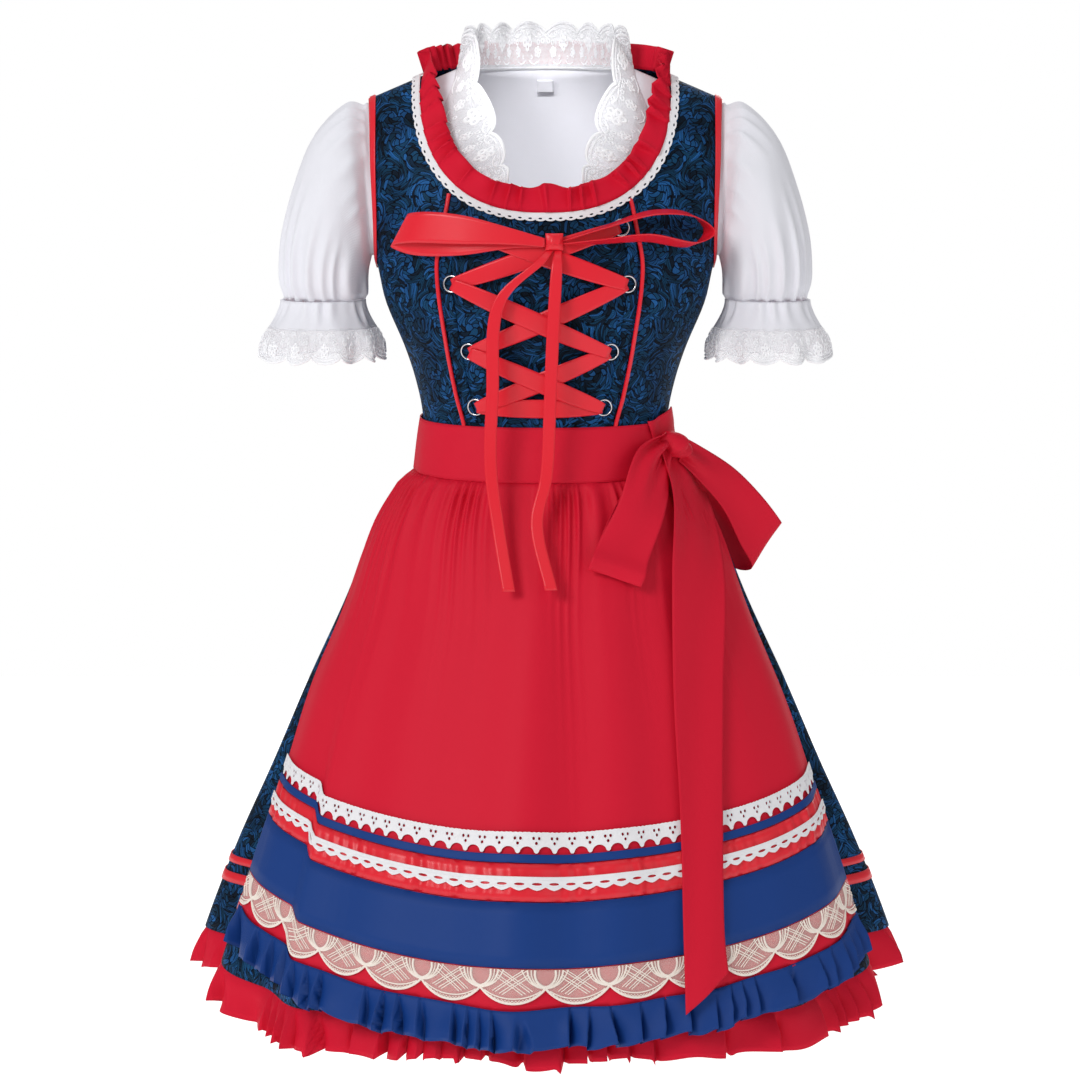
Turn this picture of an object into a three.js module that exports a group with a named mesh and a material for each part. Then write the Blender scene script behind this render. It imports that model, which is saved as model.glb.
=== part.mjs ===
// Dirndl, worn form: a white puff-sleeved blouse, a laced damask dress with a flared skirt,
// and a red apron with a bow at the side. All cloth is a thin wall round open hollows.
// Millimetres, +Z up. The origin is on the wearer's shoulder line, the front faces -Y,
// and left and right are the wearer's, so left is +X.
import * as THREE from "three";

// Cloth and seams
const SEAM_GAP = 0.3;
const BODICE_CLOTH = 1.8;
const BLOUSE_CLOTH = 1.2;
const SKIRT_CLOTH = 1.8;
const APRON_CLOTH = 1.4;
const TRIM_CLOTH = 1.0;
const RIBBON_CLOTH = 0.8;
const BLOUSE_INSET = 7.6;

// Torso form: half width and depths at each drop below the shoulder line
const SECTION_POWER = 2.3;
const SHOULDER_START = 160;
const NECK_HEIGHT = 71.5;
const NECK_ROUNDING = 30;
const SHOULDER_SLOPE = 0.43;
const TORSO = [
  { drop: 0, halfWidth: 205, front: 100, back: 92 },
  { drop: 100, halfWidth: 205, front: 104, back: 95 },
  { drop: 150, halfWidth: 193, front: 112, back: 98 },
  { drop: 185, halfWidth: 182, front: 117, back: 99 },
  { drop: 226, halfWidth: 173, front: 116, back: 96 },
  { drop: 275, halfWidth: 153, front: 108, back: 91 },
  { drop: 313, halfWidth: 141, front: 102, back: 90 },
  { drop: 352, halfWidth: 134, front: 99, back: 92 },
  { drop: 411, halfWidth: 136, front: 103, back: 97 },
];
const WAIST_SEAM = 380;
const BLOUSE_HEM = 250;
const UNDERARM = 185;

// Necklines: half width at the shoulder, and how far the centre drops in front and rises behind
const DRESS_NECK = { halfWidth: 130, frontDrop: 124, backRise: 26 };
const BLOUSE_NECK = { halfWidth: 98, frontDrop: 136, backRise: 28 };
const NECK_POWER = 0.8;

// Armhole edge: distance from the centre at each drop
const ARMHOLE = [
  { drop: -20, x: 187 },
  { drop: 60, x: 184 },
  { drop: 100, x: 183 },
  { drop: 150, x: 181 },
  { drop: UNDERARM, x: 182 },
];

// Princess seams: distance from the front panel's own centre, which sits a little to the right
const FRONT_SHIFT = -6;
const PRINCESS = [
  { drop: 96, x: 91 },
  { drop: 140, x: 100 },
  { drop: 185, x: 107 },
  { drop: 265, x: 98 },
  { drop: 320, x: 88 },
  { drop: 352, x: 80 },
  { drop: WAIST_SEAM, x: 78 },
];
const PIPING_RADIUS = 1.6;
const PIPING_SIDES = 5;

// Lacing: four rings on each side and a ribbon in crossed runs
const RINGS = [
  { drop: 142, x: 84 },
  { drop: 200, x: 91 },
  { drop: 271, x: 73.5 },
  { drop: 331, x: 67 },
];
const RING_RADIUS = 8.4;
const RING_WIRE = 0.9;
const RIBBON_WIDTH = 20;
const RUN_LEVELS = { bottom: 4.6, rising: 6, falling: 7.4 };
const KNOT_LEVEL = 9;

// Skirt: half width over the folds, depths, and fold depth at each drop
const SKIRT_FOLDS = 16;
const SKIRT_HEM = 936;
const FRILL_HEM = 979;
const SKIRT = [
  { drop: WAIST_SEAM, halfWidth: 136, front: 103, back: 97, fold: 0 },
  { drop: 408, halfWidth: 141, front: 106, back: 102, fold: 1 },
  { drop: 424, halfWidth: 156, front: 112, back: 110, fold: 2 },
  { drop: 469, halfWidth: 187, front: 128, back: 129, fold: 4 },
  { drop: 559, halfWidth: 226, front: 162, back: 163, fold: 8 },
  { drop: 650, halfWidth: 269, front: 196, back: 197, fold: 12 },
  { drop: 743, halfWidth: 310, front: 231, back: 232, fold: 16 },
  { drop: 836, halfWidth: 353, front: 266, back: 268, fold: 20 },
  { drop: SKIRT_HEM, halfWidth: 393, front: 303, back: 305, fold: 24 },
  { drop: 1000, halfWidth: 412, front: 322, back: 324, fold: 26 },
];
const SKIRT_RIBBONS = [
  { name: "skirt_ribbon_upper", top: 850, bottom: 858 },
  { name: "skirt_ribbon_lower", top: 868, bottom: 879 },
];

// Apron: how far it stands off the skirt, and the angle of its side edges, at each drop
const BAND_TOP = 352;
const BAND_BOTTOM = 411;
const APRON_HEM = 922;
const RUFFLE_HEM = 961;
const HEM_RISE = 38;
const APRON = [
  { drop: BAND_BOTTOM, standOff: 3, edge: 92 },
  { drop: 470, standOff: 6, edge: 84 },
  { drop: 560, standOff: 10, edge: 78 },
  { drop: 700, standOff: 16, edge: 73 },
  { drop: 800, standOff: 21, edge: 68 },
  { drop: 877, standOff: 25, edge: 65 },
  { drop: 1000, standOff: 31, edge: 61 },
];
const GATHERS = 10;
const GATHER_DEPTH = 3.5;
const APRON_TRIMS = [
  { name: "apron_eyelet_lace", top: 756, bottom: 776, colour: 0xf4f4f8 },
  { name: "apron_blue_ribbon", top: 777, bottom: 785, colour: 0x1c3d82 },
  { name: "apron_satin_band", top: 786, bottom: 821, colour: 0xe5283a },
  { name: "apron_blue_band", top: 822, bottom: 883, colour: 0x1c3d82 },
  { name: "apron_scallop_lace", top: 884, bottom: 917, colour: 0xe8dcd0 },
];
const TORCHON = { name: "apron_torchon_lace", top: 798, bottom: 811, colour: 0xf2eee8 };

// Sleeve: outer and inner edge and half depth of each ring, from the armhole to the elastic
const SLEEVE = [
  { along: 0.14, outerX: 194, outerDrop: 17, innerX: 188, innerDrop: 177, halfDepth: 43 },
  { along: 0.28, outerX: 214, outerDrop: 15, innerX: 190, innerDrop: 184, halfDepth: 58 },
  { along: 0.46, outerX: 248, outerDrop: 46, innerX: 191.5, innerDrop: 191, halfDepth: 65 },
  { along: 0.62, outerX: 270, outerDrop: 95, innerX: 192.5, innerDrop: 199, halfDepth: 66 },
  { along: 0.78, outerX: 285, outerDrop: 150, innerX: 193.5, innerDrop: 207, halfDepth: 63 },
  { along: 0.9, outerX: 289, outerDrop: 194, innerX: 194, innerDrop: 216, halfDepth: 54 },
  { along: 1, outerX: 286, outerDrop: 224, innerX: 194.5, innerDrop: 224, halfDepth: 43 },
];
const SLEEVE_GATHERS = 6;
const ELASTIC_DROP = 224;
const CUFF_HEM = 291;
const CUFF = { x: 241, topHalf: 45, topDepth: 43, hemX: 244, hemHalf: 65, hemDepth: 56, waves: 10 };

// Value of one column of a table, eased smoothly between its rows
function read(rows, along, column, at) {
  const last = rows.length - 1;
  if (at <= rows[0][along]) return rows[0][column];
  if (at >= rows[last][along]) return rows[last][column];
  const k = rows.findIndex((row) => row[along] > at) - 1;
  const slope = (i) => {
    const low = rows[Math.max(i - 1, 0)];
    const high = rows[Math.min(i + 1, last)];
    return (high[column] - low[column]) / (high[along] - low[along]);
  };
  const span = rows[k + 1][along] - rows[k][along];
  const t = (at - rows[k][along]) / span;
  const rest = 1 - t;
  const start = rows[k][column] * rest * rest * (1 + 2 * t);
  const end = rows[k + 1][column] * t * t * (3 - 2 * t);
  return start + end + span * t * rest * (slope(k) * rest - slope(k + 1) * t);
}

const mix = (a, b, t) => a + (b - a) * t;
const radians = THREE.MathUtils.degToRad;
const smooth = THREE.MathUtils.smoothstep;
const signedPower = (value, power) => Math.sign(value) * Math.abs(value) ** power;

// Direction square to a surface at a place, outwards for a surface run left to right and downwards
function squareTo(surface, a, b, stepA, stepB) {
  const acrossIt = surface(a + stepA, b).sub(surface(a - stepA, b));
  const upIt = surface(a, b - stepB).sub(surface(a, b + stepB));
  return acrossIt.cross(upIt).normalize();
}

// Torso surface. The turn is the angle from centre front, and the rise is the height,
// except above the start of the shoulders, where it runs on to 0 at the shoulder ridge.
const ridge = (x) => NECK_HEIGHT - SHOULDER_SLOPE * Math.hypot(x, NECK_ROUNDING);

function torsoFace(turn, rise) {
  const lean = rise > -SHOULDER_START ? (1 + rise / SHOULDER_START) * (Math.PI / 2) : 0;
  const depth = read(TORSO, "drop", Math.cos(turn) > 0 ? "front" : "back", -rise);
  const x = read(TORSO, "drop", "halfWidth", -rise) * signedPower(Math.sin(turn), 2 / SECTION_POWER);
  const y = -depth * signedPower(Math.cos(turn), 2 / SECTION_POWER) * Math.cos(lean);
  const z = lean > 0 ? -SHOULDER_START + (ridge(x) + SHOULDER_START) * Math.sin(lean) : rise;
  return new THREE.Vector3(x, y, z);
}

const torsoNormal = (turn, rise) => squareTo(torsoFace, turn, rise, 0.012, -0.6);

const torsoPoint = (turn, rise, out) =>
  torsoFace(turn, rise).addScaledVector(torsoNormal(turn, rise), out);

// The torso's own coordinates of the place seen at x and z from the front or the back
function placeAt(x, z, behind = false) {
  let rise = z;
  if (z > -SHOULDER_START) {
    const share = Math.min(1, (z + SHOULDER_START) / (ridge(x) + SHOULDER_START));
    rise = -SHOULDER_START * (1 - Math.asin(share) / (Math.PI / 2));
  }
  const reach = Math.min(1, Math.abs(x) / read(TORSO, "drop", "halfWidth", -rise));
  const angle = Math.sign(x) * Math.asin(reach ** (SECTION_POWER / 2));
  return { turn: behind ? Math.PI - angle : angle, rise };
}

const onTorso = (x, z, out, behind) => {
  const place = placeAt(x, z, behind);
  return torsoPoint(place.turn, place.rise, out);
};

// A closed wall of cloth. place(u, v, out) gives a point of its face moved out; u and v run 0 to 1.
function clothWall(place, columns, rows, thickness, closed = false) {
  const count = closed ? columns : columns + 1;
  const points = [];
  for (const out of [0, -thickness]) {
    for (let j = 0; j <= rows; j++) {
      for (let i = 0; i < count; i++) points.push(place(i / columns, j / rows, out));
    }
  }
  const layer = count * (rows + 1);
  const at = (side, i, j) => side * layer + j * count + (i % count);
  const faces = [];
  const quad = (a, b, c, d) => faces.push(a, b, c, a, c, d);
  for (let j = 0; j < rows; j++) {
    for (let i = 0; i < columns; i++) {
      quad(at(0, i, j), at(0, i + 1, j), at(0, i + 1, j + 1), at(0, i, j + 1));
      quad(at(1, i, j), at(1, i, j + 1), at(1, i + 1, j + 1), at(1, i + 1, j));
    }
  }
  for (let i = 0; i < columns; i++) {
    quad(at(0, i, 0), at(1, i, 0), at(1, i + 1, 0), at(0, i + 1, 0));
    quad(at(0, i, rows), at(0, i + 1, rows), at(1, i + 1, rows), at(1, i, rows));
  }
  for (let j = 0; j < rows && !closed; j++) {
    quad(at(0, 0, j), at(0, 0, j + 1), at(1, 0, j + 1), at(1, 0, j));
    quad(at(0, columns, j), at(1, columns, j), at(1, columns, j + 1), at(0, columns, j + 1));
  }
  return facingOut(points, faces);
}

// Geometry from points and faces, with the faces turned so that they point outwards
function facingOut(points, faces) {
  let volume = 0;
  for (let i = 0; i < faces.length; i += 3) {
    const [a, b, c] = [points[faces[i]], points[faces[i + 1]], points[faces[i + 2]]];
    volume += a.dot(b.clone().cross(c));
  }
  if (volume < 0) faces.reverse();
  const geometry = new THREE.BufferGeometry().setFromPoints(points);
  geometry.setIndex(faces);
  geometry.computeVertexNormals();
  return geometry;
}

// The same surface as place(u, v, out), for one that is only known by its face
const movedOut = (face, step = 0.004) => (u, v, out) => {
  const v0 = THREE.MathUtils.clamp(v, step, 1 - step);
  return face(u, v).addScaledVector(squareTo(face, u, v0, step, step), out);
};

// Lines on the torso, each a function of a share from 0 to 1 that gives turn and rise
const straight = (from, to) => (t) => ({
  turn: mix(from.turn, to.turn, t),
  rise: mix(from.rise, to.rise, t),
});

const chain = (first, second, share) => (t) =>
  t < share ? first(t / share) : second((t - share) / (1 - share));

// Place on a neckline at an angle: 0 is centre front, 90 the shoulder and 180 centre back
function neckPlace(neck, angle) {
  const x = neck.halfWidth * signedPower(Math.sin(angle), NECK_POWER);
  const shoulder = ridge(neck.halfWidth);
  const behind = Math.cos(angle) < 0;
  const far = behind ? neck.backRise : -neck.frontDrop;
  const z = mix(shoulder, far, Math.abs(Math.cos(angle)) ** (behind ? 1 : NECK_POWER));
  return placeAt(x, Math.min(z, ridge(x)), behind);
}

const necklineFrom = (neck, from, to) => (t) => neckPlace(neck, mix(from, to, t));

function armholePlace(rise, behind) {
  const reach = read(ARMHOLE, "drop", "x", -rise) / read(TORSO, "drop", "halfWidth", -rise);
  const turn = Math.asin(Math.min(1, reach) ** (SECTION_POWER / 2));
  return { turn: behind ? Math.PI - turn : turn, rise };
}

// A line run again at an even pace, so that equal shares of it are equally long
function evened(line, samples = 200) {
  const lengths = [0];
  for (let k = 1; k <= samples; k++) {
    const [from, to] = [line((k - 1) / samples), line(k / samples)];
    const step = torsoFace(from.turn, from.rise).distanceTo(torsoFace(to.turn, to.rise));
    lengths.push(lengths[k - 1] + step);
  }
  return (t) => {
    const goal = t * lengths[samples];
    const k = Math.max(1, lengths.findIndex((length) => length >= goal - 1e-9));
    const within = (goal - lengths[k - 1]) / (lengths[k] - lengths[k - 1]);
    return line((k - 1 + within) / samples);
  };
}

// The armhole edge from the underarm to the shoulder
const armholeFront = evened((t) => armholePlace(-UNDERARM * (1 - t ** 1.4), false));
const armholeBack = evened((t) => armholePlace(-UNDERARM * (1 - t ** 1.4), true));
const armholeLine = (behind) => (behind ? armholeBack : armholeFront);

// Side seam from a hem up to the underarm and on up the armhole
const sideLine = (hem, behind, share) => {
  const seam = straight({ turn: Math.PI / 2, rise: -hem }, armholeLine(behind)(0));
  return chain(seam, armholeLine(behind), share);
};

// A patch stretched between four lines, kept a seam gap's share inside them
function patch(bottom, top, inner, outer, inset = 0.003) {
  const inside = (t) => mix(inset, 1 - inset, t);
  return (u, v, out) => {
    const [s, t] = [inside(u), inside(v)];
    const [b, c, d, e] = [bottom(s), top(s), inner(t), outer(t)];
    const corners = [bottom(0), bottom(1), top(0), top(1)];
    const value = (key) =>
      mix(b[key], c[key], t) +
      mix(d[key], e[key], s) -
      mix(mix(corners[0][key], corners[1][key], s), mix(corners[2][key], corners[3][key], s), t);
    return torsoPoint(value("turn"), value("rise"), out);
  };
}

const mirrored = (place) => (u, v, out) => place(u, v, out).multiply(new THREE.Vector3(-1, 1, 1));

// Parts list: every mesh goes into one group under its own name
const dirndl = new THREE.Group();
dirndl.name = "dirndl";

function add(name, geometry, colour, roughness, metalness = 0) {
  const material = new THREE.MeshStandardMaterial({ color: colour, roughness, metalness });
  const mesh = new THREE.Mesh(geometry, material);
  mesh.name = name;
  dirndl.add(mesh);
}

const COTTON = [0xf4f4f8, 0.85];
const LACE = [0xf7f7f5, 0.9];
const DAMASK = [0x12304f, 0.6];
const RED = [0xc8203a, 0.6];
const RED_SATIN = [0xe5283a, 0.35];
const BLUE = [0x1c3d82, 0.55];
const STEEL = [0xc8c8cc, 0.25, 1];

// Bodice: centre front between the princess seams
const PRINCESS_ROWS = 8;
const SEAM_ROWS = 12;
const ARMHOLE_ROWS = 8;

function princessPlace(side, drop) {
  const x = FRONT_SHIFT + side * read(PRINCESS, "drop", "x", drop);
  return placeAt(x, -drop);
}

// The angle at which a neckline comes to an x, in front
const neckAngle = (neck, x) =>
  Math.sign(x) * Math.asin((Math.abs(x) / neck.halfWidth) ** (1 / NECK_POWER));

const princessTop = (side) => neckAngle(DRESS_NECK, FRONT_SHIFT + side * PRINCESS[0].x);
const PRINCESS_LAST = 120;

// From the waist seam up; the last row runs straight to the neckline
const princessLine = (side) => (t) => {
  const lastRow = 1 - 1 / PRINCESS_ROWS;
  const last = princessPlace(side, PRINCESS_LAST);
  const top = neckPlace(DRESS_NECK, princessTop(side));
  if (t > lastRow) return straight(last, top)((t - lastRow) * PRINCESS_ROWS);
  return princessPlace(side, mix(WAIST_SEAM, PRINCESS_LAST, t / lastRow));
};

const frontCentre = patch(
  straight(princessLine(-1)(0), princessLine(1)(0)),
  necklineFrom(DRESS_NECK, princessTop(-1), princessTop(1)),
  princessLine(-1),
  princessLine(1),
);
add("bodice_front_centre", clothWall(frontCentre, 6, PRINCESS_ROWS, BODICE_CLOTH), ...DAMASK);

// Bodice: side fronts and backs, from the waist seam to the neckline, shoulder and armhole
const SHOULDER_SHARE = 0.66;
const SIDE_SHARE = 1 - ARMHOLE_ROWS / SEAM_ROWS;

const shoulderLine = (neck, behind) => {
  const start = neckPlace(neck, Math.PI / 2);
  const tip = armholePlace(0, behind);
  return straight({ turn: behind ? Math.PI - start.turn : start.turn, rise: 0 }, tip);
};

function sideFront(side) {
  const seam = princessLine(side);
  const inner = (t) => ({ turn: side * seam(t).turn, rise: seam(t).rise });
  const neckEdge = evened(necklineFrom(DRESS_NECK, Math.abs(princessTop(side)), Math.PI / 2));
  const place = patch(
    straight(inner(0), { turn: Math.PI / 2, rise: -WAIST_SEAM }),
    shoulderLine(DRESS_NECK, false),
    chain(inner, neckEdge, PRINCESS_ROWS / SEAM_ROWS),
    sideLine(WAIST_SEAM, false, SIDE_SHARE),
  );
  return side > 0 ? place : mirrored(place);
}

const backPanel = patch(
  straight({ turn: Math.PI, rise: -WAIST_SEAM }, { turn: Math.PI / 2, rise: -WAIST_SEAM }),
  chain(
    necklineFrom(DRESS_NECK, Math.PI, Math.PI / 2),
    shoulderLine(DRESS_NECK, true),
    SHOULDER_SHARE,
  ),
  straight({ turn: Math.PI, rise: -WAIST_SEAM }, neckPlace(DRESS_NECK, Math.PI)),
  sideLine(WAIST_SEAM, true, SIDE_SHARE),
);

for (const [side, hand] of [[1, "left"], [-1, "right"]]) {
  const back = side > 0 ? backPanel : mirrored(backPanel);
  add(`bodice_side_front_${hand}`, clothWall(sideFront(side), 5, SEAM_ROWS, BODICE_CLOTH), ...DAMASK);
  add(`bodice_back_${hand}`, clothWall(back, 6, SEAM_ROWS, BODICE_CLOTH), ...DAMASK);
}

// Piping: a round cord along a line, square ended, or closed on itself
function piping(points, closed) {
  const path = new THREE.CatmullRomCurve3(points, closed);
  const round = new THREE.Shape();
  for (let k = 0; k < PIPING_SIDES; k++) {
    const angle = (k / PIPING_SIDES) * 2 * Math.PI;
    const [x, y] = [PIPING_RADIUS * Math.cos(angle), PIPING_RADIUS * Math.sin(angle)];
    k ? round.lineTo(x, y) : round.moveTo(x, y);
  }
  const steps = closed ? points.length : points.length - 1;
  return new THREE.ExtrudeGeometry(round, { steps, extrudePath: path, bevelEnabled: false });
}

// Armhole loop: share 0 at the shoulder, down the front, the underarm at a half, up the back
function armholeCorner(share, into, out) {
  const behind = share > 0.5;
  const along = behind ? share * 2 - 1 : 1 - share * 2;
  const step = 0.004;
  const place = armholeLine(behind)(along);
  const next = armholeLine(behind)(Math.min(1, along + step));
  const last = armholeLine(behind)(Math.max(0, along - step));
  const normal = torsoNormal(place.turn, place.rise);
  const upwards = torsoFace(next.turn, next.rise).sub(torsoFace(last.turn, last.rise)).normalize();
  const inwards = upwards.cross(normal).multiplyScalar(behind ? -1 : 1).normalize();
  return torsoFace(place.turn, place.rise).addScaledVector(normal, out).addScaledVector(inwards, into);
}

// The same loop along the straight edges between the panels' own corners
function armholePoint(share, into, out) {
  const k = Math.floor(share * 2 * ARMHOLE_ROWS);
  const from = armholeCorner(k / (2 * ARMHOLE_ROWS), into, out);
  const to = armholeCorner(((k + 1) / (2 * ARMHOLE_ROWS)) % 1, into, out);
  return from.lerp(to, share * 2 * ARMHOLE_ROWS - k);
}

for (const [side, hand] of [[1, "left"], [-1, "right"]]) {
  const loop = [];
  for (let k = 0; k < 2 * ARMHOLE_ROWS; k++) {
    const share = k / (2 * ARMHOLE_ROWS);
    const point = armholeCorner(share, PIPING_RADIUS + 2 * SEAM_GAP, -BODICE_CLOTH / 2);
    point.x *= side;
    loop.push(point);
  }
  add(`armhole_piping_${hand}`, piping(loop, true), ...RED);
  const seam = [];
  for (let k = 0; k <= SEAM_ROWS; k++) {
    const place = princessLine(side)(mix(0.125, 0.905, k / SEAM_ROWS));
    seam.push(torsoPoint(place.turn, place.rise, PIPING_RADIUS + 0.5));
  }
  add(`princess_piping_${hand}`, piping(seam, false), ...RED);
}

// Neckline frame: the point on the edge at an angle, and its directions along, into the neck and out
function neckFrame(neck, angle) {
  const place = neckPlace(neck, angle);
  const point = torsoFace(place.turn, place.rise);
  const step = 0.02;
  const [last, next] = [neckPlace(neck, angle - step), neckPlace(neck, angle + step)];
  const along = torsoFace(next.turn, next.rise).sub(torsoFace(last.turn, last.rise)).normalize();
  const out = torsoNormal(place.turn, place.rise);
  const into = out.clone().cross(along).normalize();
  return { point, along, out, into };
}

// The angle reached after an equal-paced share of the dress's neckline
const dressNeckLoop = evened((t) => {
  const angle = mix(-Math.PI, Math.PI, t);
  return { ...neckPlace(DRESS_NECK, angle), angle };
}, 400);
const dressNeckAngle = (share) => dressNeckLoop(share).angle;

// How far behind the shoulder a place on a neckline is: 0 in front, 1 at centre back
const behindShare = (angle) => smooth(Math.abs(angle), radians(62), radians(112));

// Box pleats: the cloth stands on either side of its line in turn, more towards the free edge
const boxPleat = (u, waves) => (Math.floor(u * waves * 4 + 0.001) % 4 < 2 ? 1 : -1);

// White lace and red frill round the neckline of the dress
const NECK_LACE = { columns: 56, inner: 2.4, outer: 11.4, level: 2.4 };
const NECK_FRILL = { waves: 42, height: 24, level: 2.6, pleat: 2.4, backLean: 0.3 };

function neckLacePlace(u, v, out) {
  const frame = neckFrame(DRESS_NECK, dressNeckAngle(u));
  const away = mix(NECK_LACE.inner, NECK_LACE.outer, v);
  return frame.point
    .addScaledVector(frame.into, -away)
    .addScaledVector(frame.out, NECK_LACE.level + 0.6 * v + out);
}
add("neckline_lace", clothWall(neckLacePlace, NECK_LACE.columns, 1, TRIM_CLOTH, true), ...LACE);

function neckFrillFace(u, v) {
  const frame = neckFrame(DRESS_NECK, dressNeckAngle(u));
  const back = behindShare(dressNeckAngle(u));
  const away = new THREE.Vector3(frame.out.x, frame.out.y, 0).normalize();
  const standing = new THREE.Vector3(0, 0, 1).addScaledVector(away, NECK_FRILL.backLean);
  const reach = frame.into.clone().lerp(standing, back).normalize();
  const square = frame.along.clone().cross(reach).normalize();
  const pleat = boxPleat(u, NECK_FRILL.waves) * NECK_FRILL.pleat * mix(0.12, 1, v);
  return frame.point
    .addScaledVector(reach, mix(SEAM_GAP, NECK_FRILL.height, v))
    .addScaledVector(frame.out, mix(NECK_FRILL.level, 1, back))
    .addScaledVector(square, -pleat);
}
const neckFrill = (u, v, out) => {
  const frame = neckFrame(DRESS_NECK, dressNeckAngle(u));
  const back = behindShare(dressNeckAngle(u));
  const away = new THREE.Vector3(frame.out.x, frame.out.y, 0).normalize();
  return neckFrillFace(u, v).addScaledVector(frame.out.clone().lerp(away, back).normalize(), out);
};
add("neckline_frill", clothWall(neckFrill, NECK_FRILL.waves * 4, 1, TRIM_CLOTH, true), ...RED);

// Plackets, rings and lacing on the centre front
const PLACKET = { top: 132, bottom: BAND_TOP - 4, inset: 4.2, width: 11, level: 1.4 };
for (const [side, hand] of [[1, "left"], [-1, "right"]]) {
  const placket = (u, v, out) => {
    const drop = mix(PLACKET.top, PLACKET.bottom, v);
    const away = read(PRINCESS, "drop", "x", drop) - PLACKET.inset - PLACKET.width * u;
    return onTorso(FRONT_SHIFT + side * away, -drop, PLACKET.level + out);
  };
  add(`lacing_placket_${hand}`, clothWall(placket, 2, 8, TRIM_CLOTH), ...DAMASK);
  RINGS.forEach((ring, k) => {
    const place = placeAt(FRONT_SHIFT + side * ring.x, -ring.drop);
    const geometry = new THREE.TorusGeometry(RING_RADIUS, RING_WIRE, 4, 12);
    const out = torsoNormal(place.turn, place.rise);
    const turned = new THREE.Quaternion().setFromUnitVectors(new THREE.Vector3(0, 0, 1), out);
    geometry.applyQuaternion(turned);
    const centre = torsoPoint(place.turn, place.rise, PLACKET.level + 0.5 + RING_WIRE);
    geometry.translate(centre.x, centre.y, centre.z);
    add(`lacing_ring_${hand}_${k + 1}`, geometry, ...STEEL);
  });
}

// A ribbon stretched over the torso between two places in x and drop
function ribbonRun(from, to, level) {
  const along = new THREE.Vector2(to.x - from.x, to.drop - from.drop);
  const across = new THREE.Vector2(-along.y, along.x).normalize();
  return (u, v, out) => {
    const width = RIBBON_WIDTH * mix(0.55, 1, Math.sin(Math.PI * v) ** 0.6);
    const x = from.x + along.x * v + across.x * width * (0.5 - u);
    const drop = from.drop + along.y * v + across.y * width * (0.5 - u);
    return onTorso(x, -drop, level + RIBBON_CLOTH + out);
  };
}

const ringPlace = (side, k) => ({ x: FRONT_SHIFT + side * (RINGS[k].x - 2), drop: RINGS[k].drop });
const runs = [[ringPlace(-1, 3), ringPlace(1, 3), RUN_LEVELS.bottom]];
for (let k = 3; k > 0; k--) {
  runs.push([ringPlace(-1, k), ringPlace(1, k - 1), RUN_LEVELS.rising]);
  runs.push([ringPlace(-1, k - 1), ringPlace(1, k), RUN_LEVELS.falling]);
}
runs.forEach(([from, to, level], k) => {
  add(`lacing_run_${k + 1}`, clothWall(ribbonRun(from, to, level), 1, 6, RIBBON_CLOTH), ...RED_SATIN);
});

// A ribbon between two edges, each run smoothly through the rows of a table of points
function ribbonBetween(rows) {
  const edges = ["a", "b"].map(
    (edge) => new THREE.CatmullRomCurve3(rows.map((row) => new THREE.Vector3(...row[edge]))),
  );
  const face = (u, v) => {
    const t = THREE.MathUtils.clamp(v, 0, 1);
    return edges[0].getPoint(t).lerp(edges[1].getPoint(t), u);
  };
  return movedOut(face);
}

// Lacing bow: a knot, a broad loop to the wearer's right, a loop seen on edge, and two tails
const KNOT = { x: 9, drop: 157, halfWidth: 9, halfHeight: 9, thickness: 8 };
const chest = (x, drop, out) => onTorso(x, -drop, out).toArray();

function knotPlace(u, v, out) {
  const bulge = Math.sin(Math.PI * u) * Math.sin(Math.PI * v);
  const x = KNOT.x + (u - 0.5) * 2 * KNOT.halfWidth;
  const drop = KNOT.drop + (v - 0.5) * 2 * KNOT.halfHeight;
  const rest = out < 0 ? 0 : KNOT.thickness * mix(0.45, 1, bulge);
  return onTorso(x, -drop, KNOT_LEVEL + rest);
}
add("lacing_knot", clothWall(knotPlace, 4, 4, KNOT.thickness), ...RED_SATIN);

const RIGHT_LOOP = [
  { x: -0.4, drop: 158, half: 5, out: 15 },
  { x: -35, drop: 153, half: 9, out: 18.5 },
  { x: -85, drop: 147, half: 14, out: 19 },
  { x: -128, drop: 145, half: 16, out: 17 },
  { x: -150, drop: 146, half: 16, out: 13 },
  { x: -128, drop: 147, half: 15, out: 9.6 },
  { x: -85, drop: 149, half: 13, out: 10.4 },
  { x: -35, drop: 154, half: 8, out: 11.2 },
  { x: -0.4, drop: 158, half: 5, out: 12 },
];
const rightLoop = RIGHT_LOOP.map((row) => ({
  a: chest(row.x, row.drop - row.half, row.out),
  b: chest(row.x, row.drop + row.half, row.out),
}));
add("lacing_loop_right", clothWall(ribbonBetween(rightLoop), 1, 14, RIBBON_CLOTH), ...RED_SATIN);

const LEFT_LOOP = [
  { x: 18.4, drop: 155, low: 10, high: 20 },
  { x: 60, drop: 143, low: 10, high: 27 },
  { x: 108, drop: 131, low: 10, high: 28 },
  { x: 146, drop: 134, low: 10, high: 28 },
  { x: 160, drop: 147, low: 10, high: 28 },
  { x: 146, drop: 157, low: 10, high: 28 },
  { x: 100, drop: 150, low: 10, high: 28 },
  { x: 55, drop: 155, low: 10, high: 26 },
  { x: 18.4, drop: 159, low: 10, high: 20 },
];
const leftLoop = LEFT_LOOP.map((row) => ({
  a: chest(row.x, row.drop, row.high),
  b: chest(row.x, row.drop, row.low),
}));
add("lacing_loop_left", clothWall(ribbonBetween(leftLoop), 1, 14, RIBBON_CLOTH), ...RED_SATIN);

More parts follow.
